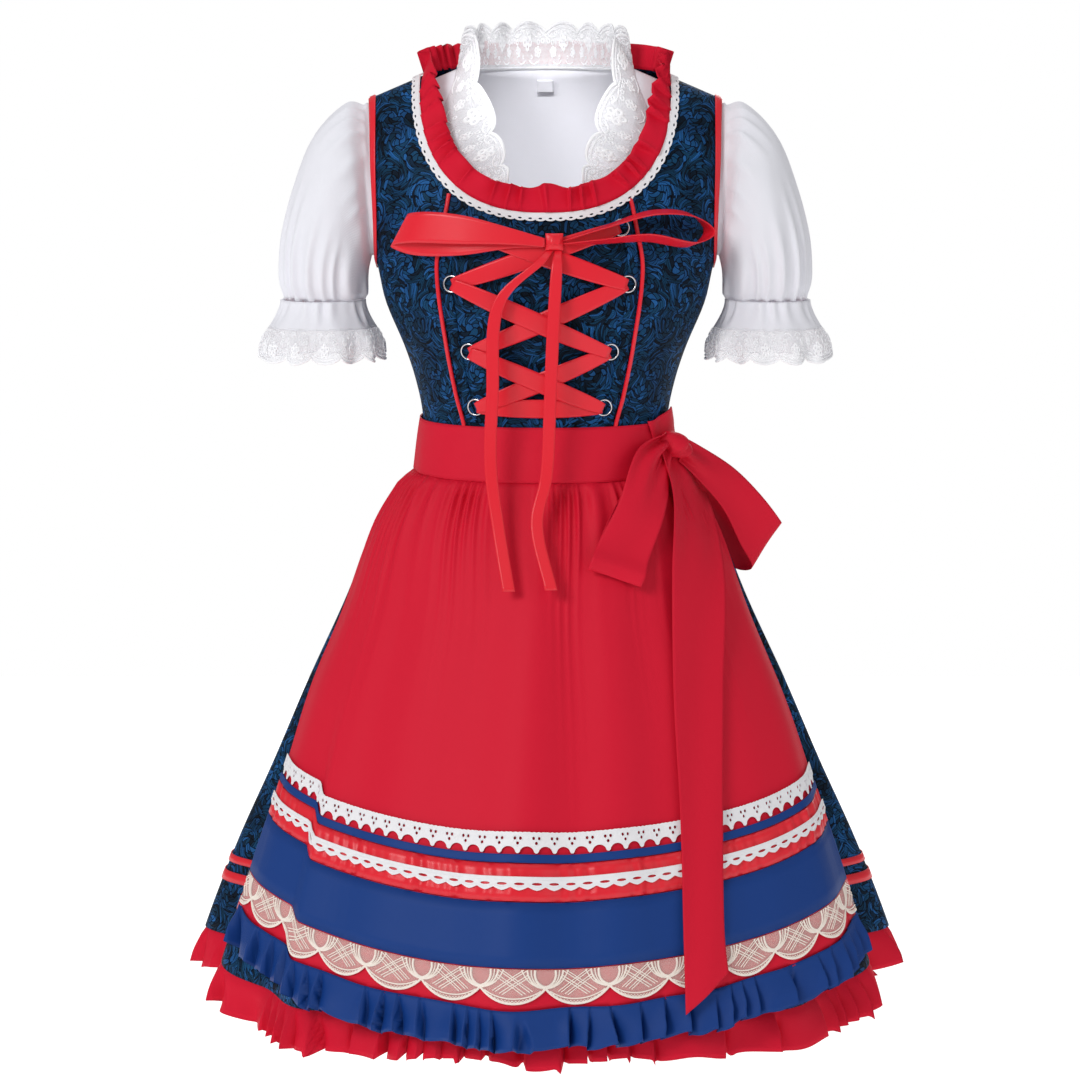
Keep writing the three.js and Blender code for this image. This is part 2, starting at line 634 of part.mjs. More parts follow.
// Tails: they leave the knot's lower edge side by side and hang clear of the lacing
const TAILS = {
  right: [
    { x: 4.5, half: 3.6, y: -126, drop: 164.4 },
    { x: -6, half: 5.5, y: -135, drop: 176 },
    { x: -47, half: 6.5, y: -137, drop: 216 },
    { x: -55, half: 6.5, y: -136, drop: 313 },
    { x: -57, half: 6.5, y: -137, drop: 390 },
    { x: -49, half: 6.5, y: -149, drop: 452 },
    { x: -38, half: 6.5, y: -171, drop: 514 },
  ],
  left: [
    { x: 13.5, half: 3.6, y: -126, drop: 164.4 },
    { x: 12, half: 5.5, y: -136, drop: 178 },
    { x: 8, half: 6.5, y: -139, drop: 245 },
    { x: 5, half: 6.5, y: -138, drop: 318 },
    { x: 1, half: 6.5, y: -139, drop: 398 },
    { x: -9, half: 6.5, y: -149, drop: 446 },
    { x: 6, half: 6.5, y: -174, drop: 512 },
  ],
};
for (const [hand, rows] of Object.entries(TAILS)) {
  const edges = rows.map((row) => ({
    a: [row.x - row.half, row.y, -row.drop],
    b: [row.x + row.half, row.y, -row.drop],
  }));
  add(`lacing_tail_${hand}`, clothWall(ribbonBetween(edges), 1, 12, RIBBON_CLOTH), ...RED_SATIN);
}

// Skirt: an oval cone with soft folds that deepen to the hem, fewer and flatter under the apron
const foldShare = (turn) => {
  const side = Math.abs(THREE.MathUtils.euclideanModulo(turn + Math.PI, 2 * Math.PI) - Math.PI);
  const clearOfApron = smooth(side, radians(58), radians(88));
  return 0.36 + 0.64 * clearOfApron - 0.22 * smooth(side, radians(110), radians(150));
};

function skirtFace(turn, drop, standOff = 0, folded = 1) {
  const fold = read(SKIRT, "drop", "fold", drop);
  const power = 2 / mix(SECTION_POWER, 2, smooth(drop, WAIST_SEAM, 560));
  const width = read(SKIRT, "drop", "halfWidth", drop) - fold;
  const depth = read(SKIRT, "drop", Math.cos(turn) > 0 ? "front" : "back", drop) - fold * 0.4;
  const uneven = 0.85 + 0.15 * Math.sin(5 * turn + 1);
  const wave = folded * fold * foldShare(turn) * uneven * Math.cos(SKIRT_FOLDS * turn);
  const out = new THREE.Vector3(Math.sin(turn) / width, -Math.cos(turn) / depth, 0).normalize();
  const x = width * signedPower(Math.sin(turn), power);
  const y = -depth * signedPower(Math.cos(turn), power);
  return new THREE.Vector3(x, y, -drop).addScaledVector(out, wave + standOff);
}

const skirtNormal = (turn, drop) => squareTo(skirtFace, turn, drop, 0.01, 1);
const skirtPoint = (turn, drop, out) =>
  skirtFace(turn, drop).addScaledVector(skirtNormal(turn, drop), out);

const SKIRT_COLUMNS = SKIRT_FOLDS * 4;
const allRound = (top, bottom, level) => (u, v, out) =>
  skirtPoint(2 * Math.PI * u, mix(top, bottom, v), level + out);

const SKIRT_DROPS = [WAIST_SEAM + SEAM_GAP, 410, 450, 560, 740, SKIRT_HEM];
const skirtPlace = (u, v, out) => {
  const k = Math.min(SKIRT_DROPS.length - 2, Math.floor(v * (SKIRT_DROPS.length - 1) + 1e-6));
  const drop = mix(SKIRT_DROPS[k], SKIRT_DROPS[k + 1], v * (SKIRT_DROPS.length - 1) - k);
  return skirtPoint(2 * Math.PI * u, drop, out);
};
const skirtWall = clothWall(skirtPlace, SKIRT_COLUMNS, SKIRT_DROPS.length - 1, SKIRT_CLOTH, true);
add("skirt", skirtWall, ...DAMASK);
for (const { name, top, bottom } of SKIRT_RIBBONS) {
  const ribbon = allRound(top, bottom, SEAM_GAP + TRIM_CLOTH + 0.4);
  add(name, clothWall(ribbon, SKIRT_COLUMNS, 1, TRIM_CLOTH, true), ...RED_SATIN);
}

// Hem frill: it follows the skirt's folds and adds its own pleats
const HEM_FRILL = { waves: 46, pleat: 4.5 };
const hemFrillFace = (u, v) => {
  const [turn, drop] = [2 * Math.PI * u, mix(SKIRT_HEM + 2 * SEAM_GAP, FRILL_HEM, v)];
  const pleat = Math.sin(2 * Math.PI * HEM_FRILL.waves * u + Math.PI / 4) * HEM_FRILL.pleat;
  return skirtFace(turn, drop, pleat * mix(0.25, 1, v) - SKIRT_CLOTH * 0.2);
};
const hemFrill = clothWall(movedOut(hemFrillFace, 0.001), HEM_FRILL.waves * 3, 1, TRIM_CLOTH, true);
add("skirt_hem_frill", hemFrill, ...RED);

// Apron: a gathered panel on the front of the skirt, its hem rising towards the side edges
const apronEdge = (drop) => radians(read(APRON, "drop", "edge", drop));
const apronRise = (share, drop) =>
  HEM_RISE * smooth(drop, BAND_BOTTOM, APRON_HEM) * Math.abs(share) ** 2.2;

function apronFace(share, drop) {
  const level = drop - apronRise(share, drop);
  const turn = share * apronEdge(drop);
  const gather = Math.cos(2 * Math.PI * GATHERS * (share / 2 + 0.5));
  const depth = smooth(drop, BAND_BOTTOM, BAND_BOTTOM + 25) * (1 - smooth(drop, 520, 720));
  const broad = 4 * smooth(drop, 560, 800) * Math.cos(7 * share + 0.6);
  const standOff = read(APRON, "drop", "standOff", drop) + gather * depth * GATHER_DEPTH + broad;
  return skirtFace(turn, level, standOff + APRON_CLOTH, 0);
}

const apronNormal = (share, drop) => squareTo(apronFace, share, drop, 0.02, 1.5);
const apronPoint = (share, drop, out) =>
  apronFace(share, drop).addScaledVector(apronNormal(share, drop), out);

const APRON_DROPS = [BAND_BOTTOM + SEAM_GAP, 440, 500, 600, 750, APRON_HEM];
const APRON_COLUMNS = GATHERS * 4;
const apronPlace = (u, v, out) => {
  const k = Math.min(APRON_DROPS.length - 2, Math.floor(v * (APRON_DROPS.length - 1) + 1e-6));
  const drop = mix(APRON_DROPS[k], APRON_DROPS[k + 1], v * (APRON_DROPS.length - 1) - k);
  return apronPoint(2 * u - 1, drop, out);
};
add("apron_panel", clothWall(apronPlace, APRON_COLUMNS, APRON_DROPS.length - 1, APRON_CLOTH), ...RED);

const TRIM_LEVEL = 1.3;
const apronTrim = (trim, level) => (u, v, out) =>
  apronPoint(2 * u - 1, mix(trim.top, trim.bottom, v), level + out);
for (const trim of APRON_TRIMS) {
  const strip = clothWall(apronTrim(trim, TRIM_LEVEL + TRIM_CLOTH), APRON_COLUMNS / 2, 1, TRIM_CLOTH);
  add(trim.name, strip, trim.colour, 0.5);
}
const torchon = apronTrim(TORCHON, TRIM_LEVEL + 2 * TRIM_CLOTH + 0.4);
add(TORCHON.name, clothWall(torchon, APRON_COLUMNS / 2, 1, TRIM_CLOTH), TORCHON.colour, 0.9);

const RUFFLE = { waves: 28, pleat: 4.5 };
const ruffleFace = (u, v) => {
  const [share, drop] = [2 * u - 1, mix(APRON_HEM + SEAM_GAP, RUFFLE_HEM, v)];
  const pleat = Math.sin(2 * Math.PI * RUFFLE.waves * u + Math.PI / 4) * RUFFLE.pleat * mix(0.2, 1, v);
  return apronFace(share, drop).addScaledVector(apronNormal(share, drop), pleat + 1);
};
const ruffle = clothWall(movedOut(ruffleFace, 0.002), RUFFLE.waves * 3, 1, TRIM_CLOTH);
add("apron_ruffle", ruffle, ...BLUE);

// Waistband and side bow of the apron
const BAND_LEVEL = 3.4;
const bandPlace = (u, v, out) => {
  const drop = mix(BAND_TOP, BAND_BOTTOM, v);
  const [turn, level] = [2 * Math.PI * u, BAND_LEVEL + out];
  return drop > WAIST_SEAM ? skirtPoint(turn, drop, level) : torsoPoint(turn, -drop, level);
};
add("apron_waistband", clothWall(bandPlace, 32, 2, APRON_CLOTH, true), ...RED);

// A point over the apron by its x, or over the waistband above the apron
function overApron(x, drop, out) {
  const covered = Math.max(drop, BAND_BOTTOM);
  const width = read(SKIRT, "drop", "halfWidth", covered) + read(APRON, "drop", "standOff", covered);
  const turn = Math.asin(THREE.MathUtils.clamp(x / width, -1, 1));
  const point = skirtFace(turn, drop, read(APRON, "drop", "standOff", covered) + APRON_CLOTH + out, 0);
  return point.toArray();
}

const FRONT_LOOP = [
  { ax: 126, aDrop: 367, bx: 129.5, bDrop: 383, out: 6 },
  { ax: 88, aDrop: 377, bx: 122, bDrop: 404, out: 10 },
  { ax: 66, aDrop: 428, bx: 112, bDrop: 446, out: 13 },
  { ax: 43, aDrop: 486, bx: 98, bDrop: 506, out: 13 },
  { ax: 42, aDrop: 490, bx: 98, bDrop: 510, out: 9 },
  { ax: 45, aDrop: 482, bx: 100, bDrop: 502, out: 5.5 },
  { ax: 68, aDrop: 428, bx: 113, bDrop: 446, out: 5.5 },
  { ax: 119, aDrop: 376, bx: 129, bDrop: 391, out: 4 },
];
const frontLoop = FRONT_LOOP.map((row) => ({
  a: overApron(row.ax, row.aDrop, row.out),
  b: overApron(row.bx, row.bDrop, row.out),
}));
add("apron_bow_loop_front", clothWall(ribbonBetween(frontLoop), 2, 15, RIBBON_CLOTH), ...RED);

const SIDE_LOOP = [
  { a: [145.9, -41.9, -368], b: [147, -45.3, -384] },
  { a: [165, -22, -381], b: [160, -36, -412] },
  { a: [208, -4, -411], b: [194, -20, -452] },
  { a: [242, 0, -446], b: [214, -14, -492] },
  { a: [261, 4, -472], b: [228, -6, -521] },
  { a: [256, 14, -470], b: [224, 8, -517] },
  { a: [205, 16, -424], b: [196, 12, -462] },
  { a: [153, -22, -383], b: [153, -26, -398] },
];
add("apron_bow_loop_side", clothWall(ribbonBetween(SIDE_LOOP), 2, 15, RIBBON_CLOTH), ...RED);

const BOW_TAIL = [
  { left: 131, right: 141, drop: 389.6, out: 6 },
  { left: 129, right: 160, drop: 425, out: 15 },
  { left: 130, right: 183, drop: 505, out: 14 },
  { left: 138, right: 193, drop: 625, out: 6 },
  { left: 146, right: 193, drop: 740, out: 6 },
  { left: 149, right: 194, drop: 860, out: 7 },
  { left: 150, right: 197, drop: 908, out: 9 },
];
const tailEnd = 17;
const bowTail = BOW_TAIL.map((row, k) => {
  const slant = k === BOW_TAIL.length - 1 ? tailEnd : 0;
  return {
    a: overApron(row.left, row.drop + slant, row.out),
    b: overApron(row.right, row.drop - slant, row.out),
  };
});
add("apron_bow_tail", clothWall(ribbonBetween(bowTail), 2, 14, RIBBON_CLOTH), ...RED);

const bowKnot = new THREE.SphereGeometry(1, 10, 7);
bowKnot.scale(11, 10, 13);
bowKnot.rotateZ(radians(20));
bowKnot.translate(138.8, -51.4, -377);
add("apron_bow_knot", bowKnot, ...RED);

// Blouse: front and back inside the bodice, cropped below the bust
const BLOUSE_ROWS = ARMHOLE_ROWS + 1;
const BLOUSE_SIDE_SHARE = 1 / BLOUSE_ROWS;

function blousePanel(behind) {
  const turned = (place) => ({ turn: (behind ? 2 * Math.PI : 0) - place.turn, rise: place.rise });
  const side = sideLine(BLOUSE_HEM, behind, BLOUSE_SIDE_SHARE);
  const halfTop = chain(
    necklineFrom(BLOUSE_NECK, behind ? Math.PI : 0, Math.PI / 2),
    shoulderLine(BLOUSE_NECK, behind),
    0.6,
  );
  const hem = straight({ turn: behind ? Math.PI : 0, rise: -BLOUSE_HEM }, side(0));
  const bothHalves = (line) => (t) => (t < 0.5 ? turned(line(1 - 2 * t)) : line(2 * t - 1));
  const place = patch(bothHalves(hem), bothHalves(halfTop), (t) => turned(side(t)), side);
  return (u, v, out) => place(u, v, out - BLOUSE_INSET);
}
add("blouse_front", clothWall(blousePanel(false), 14, BLOUSE_ROWS, BLOUSE_CLOTH), ...COTTON);
add("blouse_back", clothWall(blousePanel(true), 14, BLOUSE_ROWS, BLOUSE_CLOTH), ...COTTON);

// Sleeve: from the armhole, out over the piping, puffed, and gathered into the elastic
function sleeveFace(u, v) {
  const along = THREE.MathUtils.clamp(v, 0, 1);
  const first = SLEEVE[0].along;
  const value = (column) => read(SLEEVE, "along", column, Math.max(along, first));
  const angle = 2 * Math.PI * u;
  const top = new THREE.Vector3(value("outerX"), 0, -value("outerDrop"));
  const under = new THREE.Vector3(value("innerX"), 0, -value("innerDrop"));
  const centre = top.clone().lerp(under, 0.5);
  const gather = 3 * Math.cos(SLEEVE_GATHERS * angle);
  const gathered = smooth(along, 0.15, 0.3) * (1 - smooth(along, 0.3, 0.6)) + smooth(along, 0.7, 0.95);
  const grow = 1 + (gather * gathered) / 60;
  const ring = centre.clone().addScaledVector(top.sub(centre), grow * Math.cos(angle));
  ring.y -= value("halfDepth") * grow * Math.sin(angle);
  if (along >= first) return ring;
  const share = THREE.MathUtils.euclideanModulo(u, 1);
  const turnedIn = Math.min(1, (along / first) * 2);
  const head = armholePoint(share, mix(0.6, 7, turnedIn), mix(-BLOUSE_INSET, -2.4, turnedIn));
  return head.lerp(ring, Math.max(0, (along / first) * 2 - 1));
}

const SLEEVE_ALONG = [0, 0.07, 0.14, 0.28, 0.46, 0.62, 0.78, 0.9, 1];
const sleevePlace = (u, v, out) => {
  const k = Math.min(SLEEVE_ALONG.length - 2, Math.floor(v * (SLEEVE_ALONG.length - 1) + 1e-6));
  const along = mix(SLEEVE_ALONG[k], SLEEVE_ALONG[k + 1], v * (SLEEVE_ALONG.length - 1) - k);
  return movedOut(sleeveFace, 0.01)(u, along, out);
};

// Cuff: gathered on its elastic, then flared into waves with a lace edge
function cuffFace(u, v) {
  const angle = 2 * Math.PI * u;
  const flare = smooth(v, 0, 0.75);
  const wave = 1 + 0.075 * smooth(v, 0.2, 1) * Math.cos(CUFF.waves * angle);
  const half = mix(CUFF.topHalf, CUFF.hemHalf, flare) * wave;
  const depth = mix(CUFF.topDepth, CUFF.hemDepth, flare) * wave;
  const x = mix(CUFF.x, CUFF.hemX, v) + half * Math.cos(angle);
  return new THREE.Vector3(x, -depth * Math.sin(angle), -mix(ELASTIC_DROP + 0.8, CUFF_HEM, v));
}

for (const [side, hand] of [[1, "left"], [-1, "right"]]) {
  const turned = (place) => (side > 0 ? place : mirrored(place));
  const sleeveRows = SLEEVE_ALONG.length - 1;
  const sleeve = clothWall(turned(sleevePlace), SLEEVE_GATHERS * 4, sleeveRows, BLOUSE_CLOTH, true);
  add(`blouse_sleeve_${hand}`, sleeve, ...COTTON);
  const cuffWall = movedOut(cuffFace, 0.005);
  const cuff = clothWall(turned(cuffWall), CUFF.waves * 4, 2, BLOUSE_CLOTH, true);
  add(`blouse_cuff_${hand}`, cuff, ...LACE);
}

// Lace collar: gathered round the blouse's neck, high behind, narrowing to nothing in front
const COLLAR = [
  { angle: 0, into: 8, up: 0, wave: 0.4 },
  { angle: 22, into: 22, up: 0, wave: 1.2 },
  { angle: 50, into: 42, up: 2, wave: 3 },
  { angle: 75, into: 36, up: 14, wave: 3.4 },
  { angle: 100, into: 10, up: 40, wave: 3.4 },
  { angle: 180, into: -3, up: 48, wave: 3.4 },
];
const COLLAR_WAVES = 16;
const COLLAR_FRONT = radians(14);

function collarFace(u, v) {
  const angle = mix(COLLAR_FRONT, 2 * Math.PI - COLLAR_FRONT, u);
  const frame = neckFrame(BLOUSE_NECK, angle);
  const round = (Math.min(angle, 2 * Math.PI - angle) * 180) / Math.PI;
  const into = read(COLLAR, "angle", "into", round) * v;
  const up = read(COLLAR, "angle", "up", round) * v;
  const inwards = frame.into.clone();
  inwards.z *= 1 - smooth(round, 75, 110);
  const reach = inwards.normalize().multiplyScalar(into).add(new THREE.Vector3(0, 0, up));
  const square = frame.along.clone().cross(new THREE.Vector3().copy(reach).normalize());
  const wave = read(COLLAR, "angle", "wave", round) * v * Math.cos(2 * Math.PI * COLLAR_WAVES * u);
  const seat = frame.point.addScaledVector(frame.out, -BLOUSE_INSET).addScaledVector(frame.into, 1);
  return seat.add(reach).addScaledVector(square, wave);
}
const collar = clothWall(movedOut(collarFace, 0.003), COLLAR_WAVES * 4, 1, TRIM_CLOTH);
add("blouse_collar_lace", collar, ...LACE);

// Blank neck label inside the back
const LABEL = { halfWidth: 8, top: 16, bottom: 0, level: -12 };
const labelPlace = (u, v, out) => {
  const x = mix(LABEL.halfWidth, -LABEL.halfWidth, u);
  return onTorso(x, mix(LABEL.top, LABEL.bottom, v), LABEL.level + out, true);
};
add("blouse_label", clothWall(labelPlace, 1, 1, TRIM_CLOTH), ...COTTON);

export default dirndl;
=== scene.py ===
"""Dirndl with blouse and apron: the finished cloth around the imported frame.

Lengths in the tables are millimetres; meshes are in metres, +Z up, front facing -Y.
Left and right are the wearer's, so left is +X.
"""

import bmesh
import bpy
import numpy as np
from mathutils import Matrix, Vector


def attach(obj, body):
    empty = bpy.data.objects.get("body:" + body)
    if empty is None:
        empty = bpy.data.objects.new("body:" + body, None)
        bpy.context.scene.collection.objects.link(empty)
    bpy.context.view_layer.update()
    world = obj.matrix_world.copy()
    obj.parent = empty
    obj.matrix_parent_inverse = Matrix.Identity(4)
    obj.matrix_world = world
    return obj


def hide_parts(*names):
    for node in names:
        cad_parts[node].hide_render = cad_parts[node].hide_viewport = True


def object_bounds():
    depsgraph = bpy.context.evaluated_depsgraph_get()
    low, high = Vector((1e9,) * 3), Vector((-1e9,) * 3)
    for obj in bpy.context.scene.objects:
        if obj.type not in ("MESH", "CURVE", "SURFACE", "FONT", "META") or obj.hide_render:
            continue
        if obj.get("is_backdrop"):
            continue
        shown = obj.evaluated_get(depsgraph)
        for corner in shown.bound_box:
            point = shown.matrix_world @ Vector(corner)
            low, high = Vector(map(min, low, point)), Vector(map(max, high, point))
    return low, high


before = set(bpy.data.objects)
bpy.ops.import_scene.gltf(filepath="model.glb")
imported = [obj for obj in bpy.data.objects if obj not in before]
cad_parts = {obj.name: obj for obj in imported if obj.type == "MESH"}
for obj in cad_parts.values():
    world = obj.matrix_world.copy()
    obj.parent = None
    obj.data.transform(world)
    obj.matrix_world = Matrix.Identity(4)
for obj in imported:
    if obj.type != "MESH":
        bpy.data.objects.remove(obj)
cad_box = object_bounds()

# Photo studio: the camera at shoulder height looks a little down, over a pale floor, in soft light.
# A white room, a faintly glowing floor and four large lamps leave only soft shadows in the folds.
MM = 0.001
CAMERA_DISTANCE = 2.65
CAMERA_PITCH = np.radians(10.5)
CAMERA_VIEW = np.radians(25.0)
FLOOR_DROP = 1.38
FLOOR_HALF = 3


def linear(colour):
    """Linear RGBA of an sRGB hex colour such as C8203A."""
    part = np.array([int(colour[i:i + 2], 16) for i in (0, 2, 4)]) / 255
    return (*np.where(part <= 0.04045, part / 12.92, ((part + 0.055) / 1.055) ** 2.4), 1.0)


def node(tree, kind, links=None, **settings):
    """A node with its settings, and its inputs set or linked by number or name."""
    made = tree.nodes.new(kind)
    for key, value in settings.items():
        setattr(made, key, value)
    for key, value in (links or {}).items():
        if isinstance(value, bpy.types.Node):
            value = value.outputs[0]
        if isinstance(value, bpy.types.NodeSocket):
            tree.links.new(value, made.inputs[key])
        else:
            made.inputs[key].default_value = value
    return made


camera_data = bpy.data.cameras.new("photo_camera")
camera_data.sensor_fit = "HORIZONTAL"
camera_data.angle = CAMERA_VIEW
camera_data.shift_x = -0.005
camera = bpy.data.objects.new("photo_camera", camera_data)
camera.location = (0, -CAMERA_DISTANCE, 0)
camera.rotation_euler = (np.pi / 2 - CAMERA_PITCH, 0, 0)
bpy.context.scene.collection.objects.link(camera)
bpy.context.scene.camera = camera

world = bpy.data.worlds.new("white_room")
bpy.context.scene.world = world
world.use_nodes = True
bpy.context.scene.view_settings.view_transform = "Standard"
ROOM_LIGHT = 0.42
ROOM_SEEN = 1.0
sight = node(world.node_tree, "ShaderNodeLightPath")
strength = node(world.node_tree, "ShaderNodeMapRange", {"Value": sight.outputs["Is Camera Ray"],
                                                        "To Min": ROOM_LIGHT, "To Max": ROOM_SEEN})
world.node_tree.links.new(strength.outputs[0], world.node_tree.nodes["Background"].inputs["Strength"])
world.node_tree.nodes["Background"].inputs["Color"].default_value = (1, 1, 1, 1)

LAMPS = [
    ("key_lamp", (-1.9, -2.7, 1.5), 1.3, 62),
    ("fill_lamp", (2.5, -2.4, 0.6), 2.0, 10),
    ("top_lamp", (0.2, 0.3, 2.6), 1.8, 12),
    ("back_lamp", (0.6, 2.8, 0.6), 2.2, 34),
]
for name, place, size, power in LAMPS:
    lamp = bpy.data.lights.new(name, "AREA")
    lamp.size = size
    lamp.energy = power
    stand = bpy.data.objects.new(name, lamp)
    stand.location = place
    stand.rotation_euler = (Vector((0, 0, -0.4)) - Vector(place)).to_track_quat("-Z", "Y").to_euler()
    bpy.context.scene.collection.objects.link(stand)

neck_light = bpy.data.lights.new("neck_lamp", "SPOT")
neck_light.energy = 78
neck_light.spot_size = np.radians(7.5)
neck_light.spot_blend = 0.7
neck_light.shadow_soft_size = 0.03
neck_lamp = bpy.data.objects.new("neck_lamp", neck_light)
neck_lamp.location = (-0.05, -1.2, 0.78)
neck_lamp.rotation_euler = (Vector((0, 0.08, -0.07)) - neck_lamp.location).to_track_quat("-Z", "Y").to_euler()
bpy.context.scene.collection.objects.link(neck_lamp)

floor_mesh = bpy.data.meshes.new("studio_floor")
floor_mesh.from_pydata([(x * FLOOR_HALF, y * FLOOR_HALF, -FLOOR_DROP) for x, y in ((-1, -1), (1, -1), (1, 1), (-1, 1))],
                       [], [(0, 1, 2, 3)])
floor = bpy.data.objects.new("studio_floor", floor_mesh)
bpy.context.scene.collection.objects.link(floor)
paper = bpy.data.materials.new("white_studio_paper")
paper.use_nodes = True
paper.node_tree.nodes["Principled BSDF"].inputs["Base Color"].default_value = linear("F6F6F6")
paper.node_tree.nodes["Principled BSDF"].inputs["Roughness"].default_value = 0.9
paper.node_tree.nodes["Principled BSDF"].inputs["Emission Color"].default_value = (1, 1, 1, 1)
paper.node_tree.nodes["Principled BSDF"].inputs["Emission Strength"].default_value = 0.5
floor_mesh.materials.append(paper)
floor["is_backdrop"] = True

# Blouse body: a cropped white cotton batiste front and back, sewn at the side and shoulder seams,
# worn inside the bodice, so that only its inner back shows through the neck.
COTTON_WALL = 1.2
BLOUSE_INSET = 7.6
SECTION_POWER = 2.3
SHOULDER_START = 160
NECK_HEIGHT = 71.5
NECK_ROUNDING = 30
SHOULDER_SLOPE = 0.43
WAIST_SEAM = 380
BLOUSE_HEM = 250
UNDERARM = 185
NECK_POWER = 0.8


def table(columns, *rows):
    """A table of numbers by the names of its columns."""
    return dict(zip(columns.split(), np.array(rows, float).T))


TORSO = table(
    "drop half front back",
    (0, 205, 100, 92), (100, 205, 104, 95), (150, 193, 112, 98), (185, 182, 117, 99), (226, 173, 116, 96),
    (275, 153, 108, 91), (313, 141, 102, 90), (352, 134, 99, 92), (411, 136, 103, 97),
)
ARMHOLE = table("drop x", (-20, 187), (60, 184), (100, 183), (150, 181), (UNDERARM, 182))
DRESS_NECK = {"half": 130, "front": 124, "back": 26}
BLOUSE_NECK = {"half": 98, "front": 136, "back": 28}


def read(rows, column, at, along="drop"):
    """One column of a table, eased smoothly between its rows."""
    xs, ys = rows[along], rows[column]
    at = np.clip(np.asarray(at, float), xs[0], xs[-1])
    last = len(xs) - 1
    low, high = np.maximum(np.arange(last + 1) - 1, 0), np.minimum(np.arange(last + 1) + 1, last)
    slope = (ys[high] - ys[low]) / (xs[high] - xs[low])
    k = np.clip(np.searchsorted(xs, at, side="right") - 1, 0, last - 1)
    span = xs[k + 1] - xs[k]
    t = (at - xs[k]) / span
    rest = 1 - t
    ends = ys[k] * rest * rest * (1 + 2 * t) + ys[k + 1] * t * t * (3 - 2 * t)
    return ends + span * t * rest * (slope[k] * rest - slope[k + 1] * t)


def mix(a, b, t):
    return a + (b - a) * t


def smooth(value, low, high):
    t = np.clip((value - low) / (high - low), 0, 1)
    return t * t * (3 - 2 * t)


def power(value, exponent):
    return np.sign(value) * np.abs(value) ** exponent


def points(x, y, z):
    return np.stack(np.broadcast_arrays(x, y, z), -1).astype(float)


def unit(vector):
    return vector / np.maximum(np.linalg.norm(vector, axis=-1, keepdims=True), 1e-9)


def times(vector, amount):
    return vector * np.asarray(amount)[..., None]


def square_to(surface, a, b, step_a, step_b):
    """Direction square to a surface, outwards where a runs left to right and b downwards."""
    across = surface(a + step_a, b) - surface(a - step_a, b)
    up = surface(a, b - step_b) - surface(a, b + step_b)
    return unit(np.cross(across, up))


def ridge(x):
    return NECK_HEIGHT - SHOULDER_SLOPE * np.hypot(x, NECK_ROUNDING)


def torso_face(turn, rise):
    """The torso at a turn from centre front and a height, which runs to 0 at the shoulder ridge."""
    lean = np.clip(1 + rise / SHOULDER_START, 0, None) * np.pi / 2
    depth = np.where(np.cos(turn) > 0, read(TORSO, "front", -rise), read(TORSO, "back", -rise))
    x = read(TORSO, "half", -rise) * power(np.sin(turn), 2 / SECTION_POWER)
    y = -depth * power(np.cos(turn), 2 / SECTION_POWER) * np.cos(lean)
    z = np.where(lean > 0, -SHOULDER_START + (ridge(x) + SHOULDER_START) * np.sin(lean), rise)
    return points(x, y, z)


def torso_normal(turn, rise):
    return square_to(torso_face, turn, rise, 0.012, -0.6)


def torso_point(turn, rise, out):
    return torso_face(turn, rise) + times(torso_normal(turn, rise), out)


def place_at(x, z, behind=False):
    """Turn and rise of the place seen at x and z from the front or from behind."""
    share = np.clip((z + SHOULDER_START) / (ridge(x) + SHOULDER_START), -1, 1)
    rise = np.where(z > -SHOULDER_START, -SHOULDER_START * (1 - np.arcsin(share) / (np.pi / 2)), z)
    reach = np.minimum(1, np.abs(x) / read(TORSO, "half", -rise))
    angle = np.sign(x) * np.arcsin(reach ** (SECTION_POWER / 2))
    return np.where(behind, np.pi - angle, angle), rise


def on_torso(x, z, out, behind=False):
    turn, rise = place_at(x, z, behind)
    return torso_point(turn, rise, out)


def neck_place(neck, angle):
    """Turn and rise on a neckline: 0 is centre front, 90 degrees the shoulder and 180 centre back."""
    behind = np.cos(angle) < 0
    far = np.where(behind, neck["back"], -neck["front"])
    share = np.abs(np.cos(angle)) ** np.where(behind, 1, NECK_POWER)
    x = neck["half"] * power(np.sin(angle), NECK_POWER)
    return place_at(x, np.minimum(mix(ridge(neck["half"]), far, share), ridge(x)), behind)


def evened(line, samples=800):
    """A line of turn and rise run again at an even pace."""
    t = np.linspace(0, 1, samples + 1)
    place = torso_face(*line(t)[:2])
    length = np.concatenate([[0], np.cumsum(np.linalg.norm(np.diff(place, axis=0), axis=1))])
    return lambda share: line(np.interp(share, length / length[-1], t))


def straight(start, end):
    return lambda t: (mix(start[0], end[0], t), mix(start[1], end[1], t))


def chain(first, second, share):
    """Two lines one after the other, the first up to a share of the whole."""
    def line(t):
        a, b = first(np.clip(t / share, 0, 1)), second(np.clip((t - share) / (1 - share), 0, 1))
        return tuple(np.where(t < share, p, q) for p, q in zip(a, b))
    return line


def armhole_place(rise, behind):
    reach = np.minimum(1, read(ARMHOLE, "x", -rise) / read(TORSO, "half", -rise))
    turn = np.arcsin(reach ** (SECTION_POWER / 2))
    return np.where(behind, np.pi - turn, turn), rise


ARMHOLE_LINES = [evened(lambda t, b=b: armhole_place(-UNDERARM * (1 - t ** 1.4), b)) for b in (False, True)]


def side_line(hem, behind, share):
    """A side seam from the hem to the underarm, and on up the armhole."""
    line = ARMHOLE_LINES[behind]
    start = line(0.0)
    return chain(straight((np.pi / 2, -hem), (start[0], start[1])), line, share)


def shoulder_line(neck, behind):
    turn = float(neck_place(neck, np.pi / 2)[0])
    tip = armhole_place(0.0, behind)
    return straight((np.pi - turn if behind else turn, 0.0), (float(tip[0]), 0.0))


def neckline(neck, start, end):
    return lambda t: neck_place(neck, mix(start, end, t))


